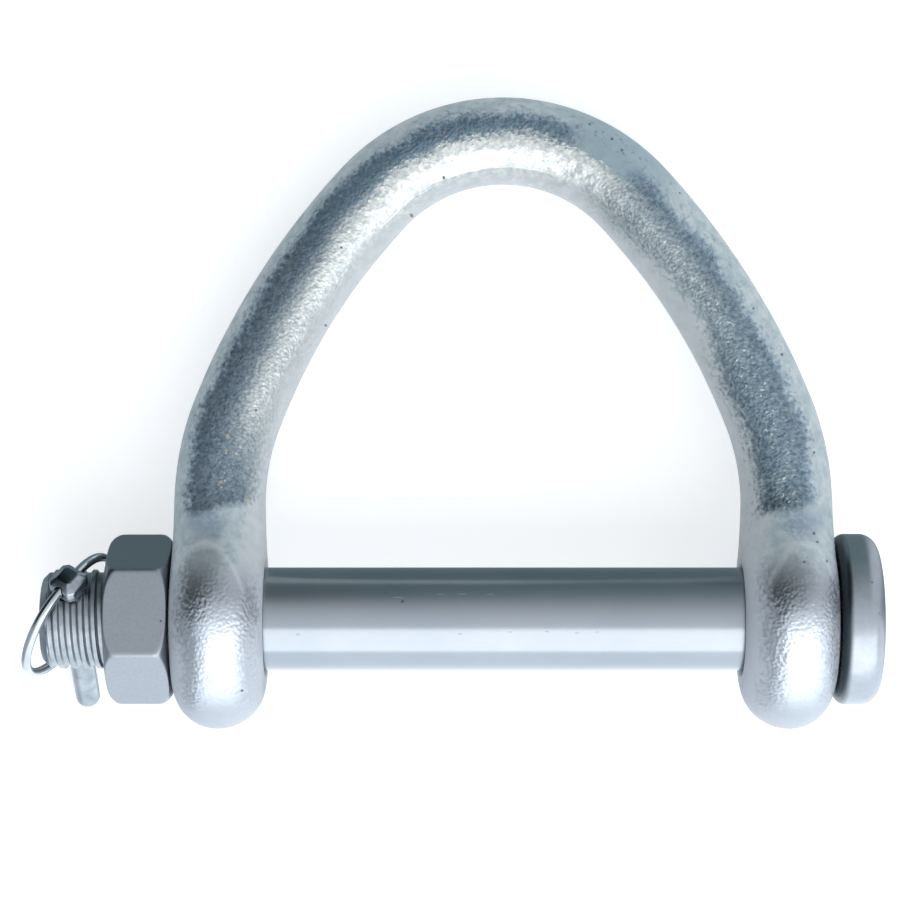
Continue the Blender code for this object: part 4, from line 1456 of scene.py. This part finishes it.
def ring_line():
    """The ring's wire as (across, down) points: straight in the head, corners, then one wide bend."""
    corner_turn = math.radians(RING_CORNER_DEGREES)
    straight = PIN_HEAD_WIDTH / 2 - WIRE_RADIUS / 2
    bend = THREAD_RADIUS + WIRE_RADIUS + RING_ROOM
    corner = bend - straight / math.sin(corner_turn)
    drop = 2 * bend - straight * math.tan(corner_turn / 2)
    half = [(x, 0.0) for x in steps(RING_END_GAP / 2, straight, RING_STRAIGHT_STEPS)[:-1]]
    half += [
        (straight + corner * math.sin(turn), corner * (1 - math.cos(turn)))
        for turn in arc_steps(0.0, corner_turn, corner, WIRE_STEP)
    ]
    half += [
        (bend * math.sin(turn), drop - bend * (1 + math.cos(turn)))
        for turn in arc_steps(corner_turn, math.pi, bend, WIRE_STEP)[1:]
    ]
    line = half + [(-across, down) for across, down in reversed(half[:-1])]
    closed_angle = math.asin((PIN_RADIUS + WIRE_RADIUS + SEAT_GAP) / drop)
    swing = Matrix.Rotation(closed_angle, 3, "X")
    return [swing @ Vector((across, 0.0, -down)) for across, down in line]


def wire_tree():
    """Sweeps a round wire with closed ends along a curve."""
    tree, given, result = new_shape_tree("Wire", [
        ("Radius", FLOAT, 0.001), ("Sides", "NodeSocketInt", 16)])
    line = add(tree, "GeometryNodeMeshToCurve", {"Mesh": given["Geometry"]})
    section = add(tree, "GeometryNodeCurvePrimitiveCircle", {
        "Resolution": given["Sides"], "Radius": given["Radius"]})
    swept = add(tree, "GeometryNodeCurveToMesh", {
        "Curve": line.outputs[0], "Profile Curve": section.outputs[0], "Fill Caps": True})
    return end_shape_tree(tree, swept.outputs[0], given, result)


def make_ring(finish):
    points = ring_line()
    mesh = bpy.data.meshes.new("snap_ring_wire")
    mesh.from_pydata(points, [(i, i + 1) for i in range(len(points) - 1)], [])
    wire = bpy.data.objects.new("snap_ring_wire", mesh)
    bpy.context.scene.collection.objects.link(wire)
    run_nodes(wire, wire_tree(), {"Radius": WIRE_RADIUS, "Sides": WIRE_SIDES, "Finish": finish})
    turned_axes = pin_matrix().to_3x3().to_4x4()
    ring = made_plain(wire, Matrix.Translation(RING_PLACE) @ turned_axes)
    ring.data.shade_smooth()
    ring.data.set_sharp_from_angle(angle=math.radians(SHARP_EDGE_DEGREES))
    join_frame(ring, "linch_ring")


# Studio

CAMERA_DISTANCE = 0.700
CAMERA_AIM_X = -0.01194
CAMERA_AIM_Y = 0.04005
CAMERA_LENS = 114.3
CAMERA_NEAREST = 0.01
SENSOR_WIDTH = 36.0

FLOOR_HALF_SIZE = 3.0
FLOOR_FINISH = {
    "Base Color": (0.80, 0.80, 0.80), "Roughness": 0.9, "Specular IOR Level": 0.0,
    "Emission Color": (1.0, 1.0, 1.0), "Emission Strength": 0.50,
}

# The one lamp: a soft box above the shackle, leant towards -Y about a line through this Y
KEY_ABOUT_Y = 0.03
KEY_SIDEWAYS = 0.44
KEY_LEAN_DEGREES = 47.5
KEY_DISTANCE = 0.8
KEY_WIDTH = 1.30
KEY_HEIGHT = 0.80
KEY_RADIANCE = 1.05

# Brightness round the shackle, by the direction's angle from straight up, in degrees towards +Y
STUDIO_BANDS = (
    (-180.0, (0.11, 0.157, 0.17)),
    (-160.0, (0.86, 0.93, 1.00)),
    (-82.0, (0.86, 0.93, 1.00)),
    (-60.0, (0.70, 0.73, 0.78)),
    (-20.0, (0.66, 0.69, 0.73)),
    (0.0, (0.61, 0.64, 0.69)),
    (20.0, (0.47, 0.50, 0.53)),
    (40.0, (0.33, 0.35, 0.37)),
    (57.0, (0.21, 0.25, 0.27)),
    (75.0, (0.14, 0.18, 0.19)),
    (90.0, (0.11, 0.157, 0.17)),
    (180.0, (0.11, 0.157, 0.17)),
)
STUDIO_LEFT = (0.27, 0.31, 0.35)
STUDIO_LEFT_X = (-0.30, -0.75)
STUDIO_UPPER_RIGHT = (0.50, 0.53, 0.57)
STUDIO_UPPER_RIGHT_X = (0.15, 0.55)
STUDIO_UPPER_RIGHT_Y = (0.0, 0.40)
STUDIO_FLAG = (0.012, 0.022, 0.025)
FLAG_DIRECTION = (-0.70, 0.62, 0.35)
FLAG_OUTER_DEGREES = 46
FLAG_INNER_DEGREES = 34
FILL_LEFT = (0.22, 0.24, 0.26)
FILL_RIGHT = (0.46, 0.48, 0.50)
FILL_X = (-0.9, 0.9)
STUDIO_BACKDROP = (0.50, 0.50, 0.50)
STUDIO_STRENGTH = 1.9


def make_camera():
    data = bpy.data.cameras.new("camera")
    data.sensor_width = SENSOR_WIDTH
    data.lens = CAMERA_LENS
    data.clip_start = CAMERA_NEAREST
    camera = bpy.data.objects.new("camera", data)
    bpy.context.scene.collection.objects.link(camera)
    camera.matrix_world = LYING @ Matrix.Translation((CAMERA_AIM_X, CAMERA_AIM_Y, CAMERA_DISTANCE))
    bpy.context.scene.camera = camera


def make_floor():
    bm = bmesh.new()
    bmesh.ops.create_grid(bm, x_segments=1, y_segments=1, size=FLOOR_HALF_SIZE)
    floor = mesh_object("floor", bm)
    if floor.data.polygons[0].normal.z < 0:
        floor.data.flip_normals()
    material, tree, shader, place = new_material("pale_floor")
    set_inputs(tree, shader, FLOOR_FINISH)
    floor.data.materials.append(material)
    floor.visible_glossy = False


def studio_ramp(tree, angle):
    """The studio's brightness bands at an angle from straight up."""
    share = add(tree, "ShaderNodeMapRange", {
        "Value": angle, "From Min": -math.pi, "From Max": math.pi}).outputs[0]
    ramp = add(tree, "ShaderNodeValToRGB", {"Fac": share})
    elements = ramp.color_ramp.elements
    while len(elements) > 1:
        elements.remove(elements[-1])
    for i, (degrees, colour) in enumerate(STUDIO_BANDS):
        position = (degrees + 180.0) / 360.0
        element = elements[0] if i == 0 else elements.new(position)
        element.position = position
        element.color = (*colour, 1.0)
    return ramp.outputs[0]


def make_world():
    """Bands of light round the shackle, which the metal mirrors, and a softer fill for matt zinc."""
    world = bpy.data.worlds.new("studio")
    bpy.context.scene.world = world
    world.use_nodes = True
    tree = world.node_tree
    tree.nodes.clear()
    direction = add(tree, "ShaderNodeTexCoord").outputs["Generated"]
    direction = add(tree, "ShaderNodeVectorRotate", {"Vector": direction, "Angle": LYING_TILT},
                    rotation_type="X_AXIS").outputs[0]
    parts = separated(tree, direction)
    colour = studio_ramp(tree, maths(tree, "ARCTAN2", parts["Y"], parts["Z"]))
    colour = tint(tree, colour, STUDIO_LEFT, smooth_step(tree, parts["X"], *STUDIO_LEFT_X))
    colour = tint(
        tree, colour, STUDIO_UPPER_RIGHT, smooth_step(tree, parts["X"], *STUDIO_UPPER_RIGHT_X),
        smooth_step(tree, parts["Y"], *STUDIO_UPPER_RIGHT_Y),
    )
    towards_flag = vector_maths(tree, "DOT_PRODUCT", direction, tuple(Vector(FLAG_DIRECTION).normalized()))
    flag_edge = (math.cos(math.radians(degrees)) for degrees in (FLAG_OUTER_DEGREES, FLAG_INNER_DEGREES))
    colour = tint(tree, colour, STUDIO_FLAG, smooth_step(tree, towards_flag, *flag_edge))
    fill_light = blend_colour(tree, smooth_step(tree, parts["X"], *FILL_X), FILL_LEFT, FILL_RIGHT)
    rays = add(tree, "ShaderNodeLightPath").outputs
    colour = tint(tree, colour, fill_light, rays["Is Diffuse Ray"])
    colour = tint(tree, colour, STUDIO_BACKDROP, rays["Is Camera Ray"])
    background = add(tree, "ShaderNodeBackground", {"Color": colour, "Strength": STUDIO_STRENGTH})
    add(tree, "ShaderNodeOutputWorld", {"Surface": background.outputs[0]})


def make_key_light():
    """The soft box, as bright all over as its radiance says."""
    data = bpy.data.lights.new("key", "AREA")
    data.shape = "RECTANGLE"
    data.size = KEY_WIDTH
    data.size_y = KEY_HEIGHT
    data.energy = 4.0 * KEY_RADIANCE * KEY_WIDTH * KEY_HEIGHT
    lamp = bpy.data.objects.new("key", data)
    bpy.context.scene.collection.objects.link(lamp)
    lean = Matrix.Rotation(math.radians(KEY_LEAN_DEGREES), 4, "X")
    about = Matrix.Translation((0.0, KEY_ABOUT_Y, 0.0))
    lamp.matrix_world = LYING @ about @ lean @ Matrix.Translation((KEY_SIDEWAYS, 0.0, KEY_DISTANCE))


bpy.context.scene.view_settings.view_transform = "Standard"
make_camera()
make_world()
make_key_light()
make_floor()
make_bow(bow_material())
make_bolt(bolt_material())
make_nut(nut_material())
make_pin(pin_material())
make_ring(ring_material())
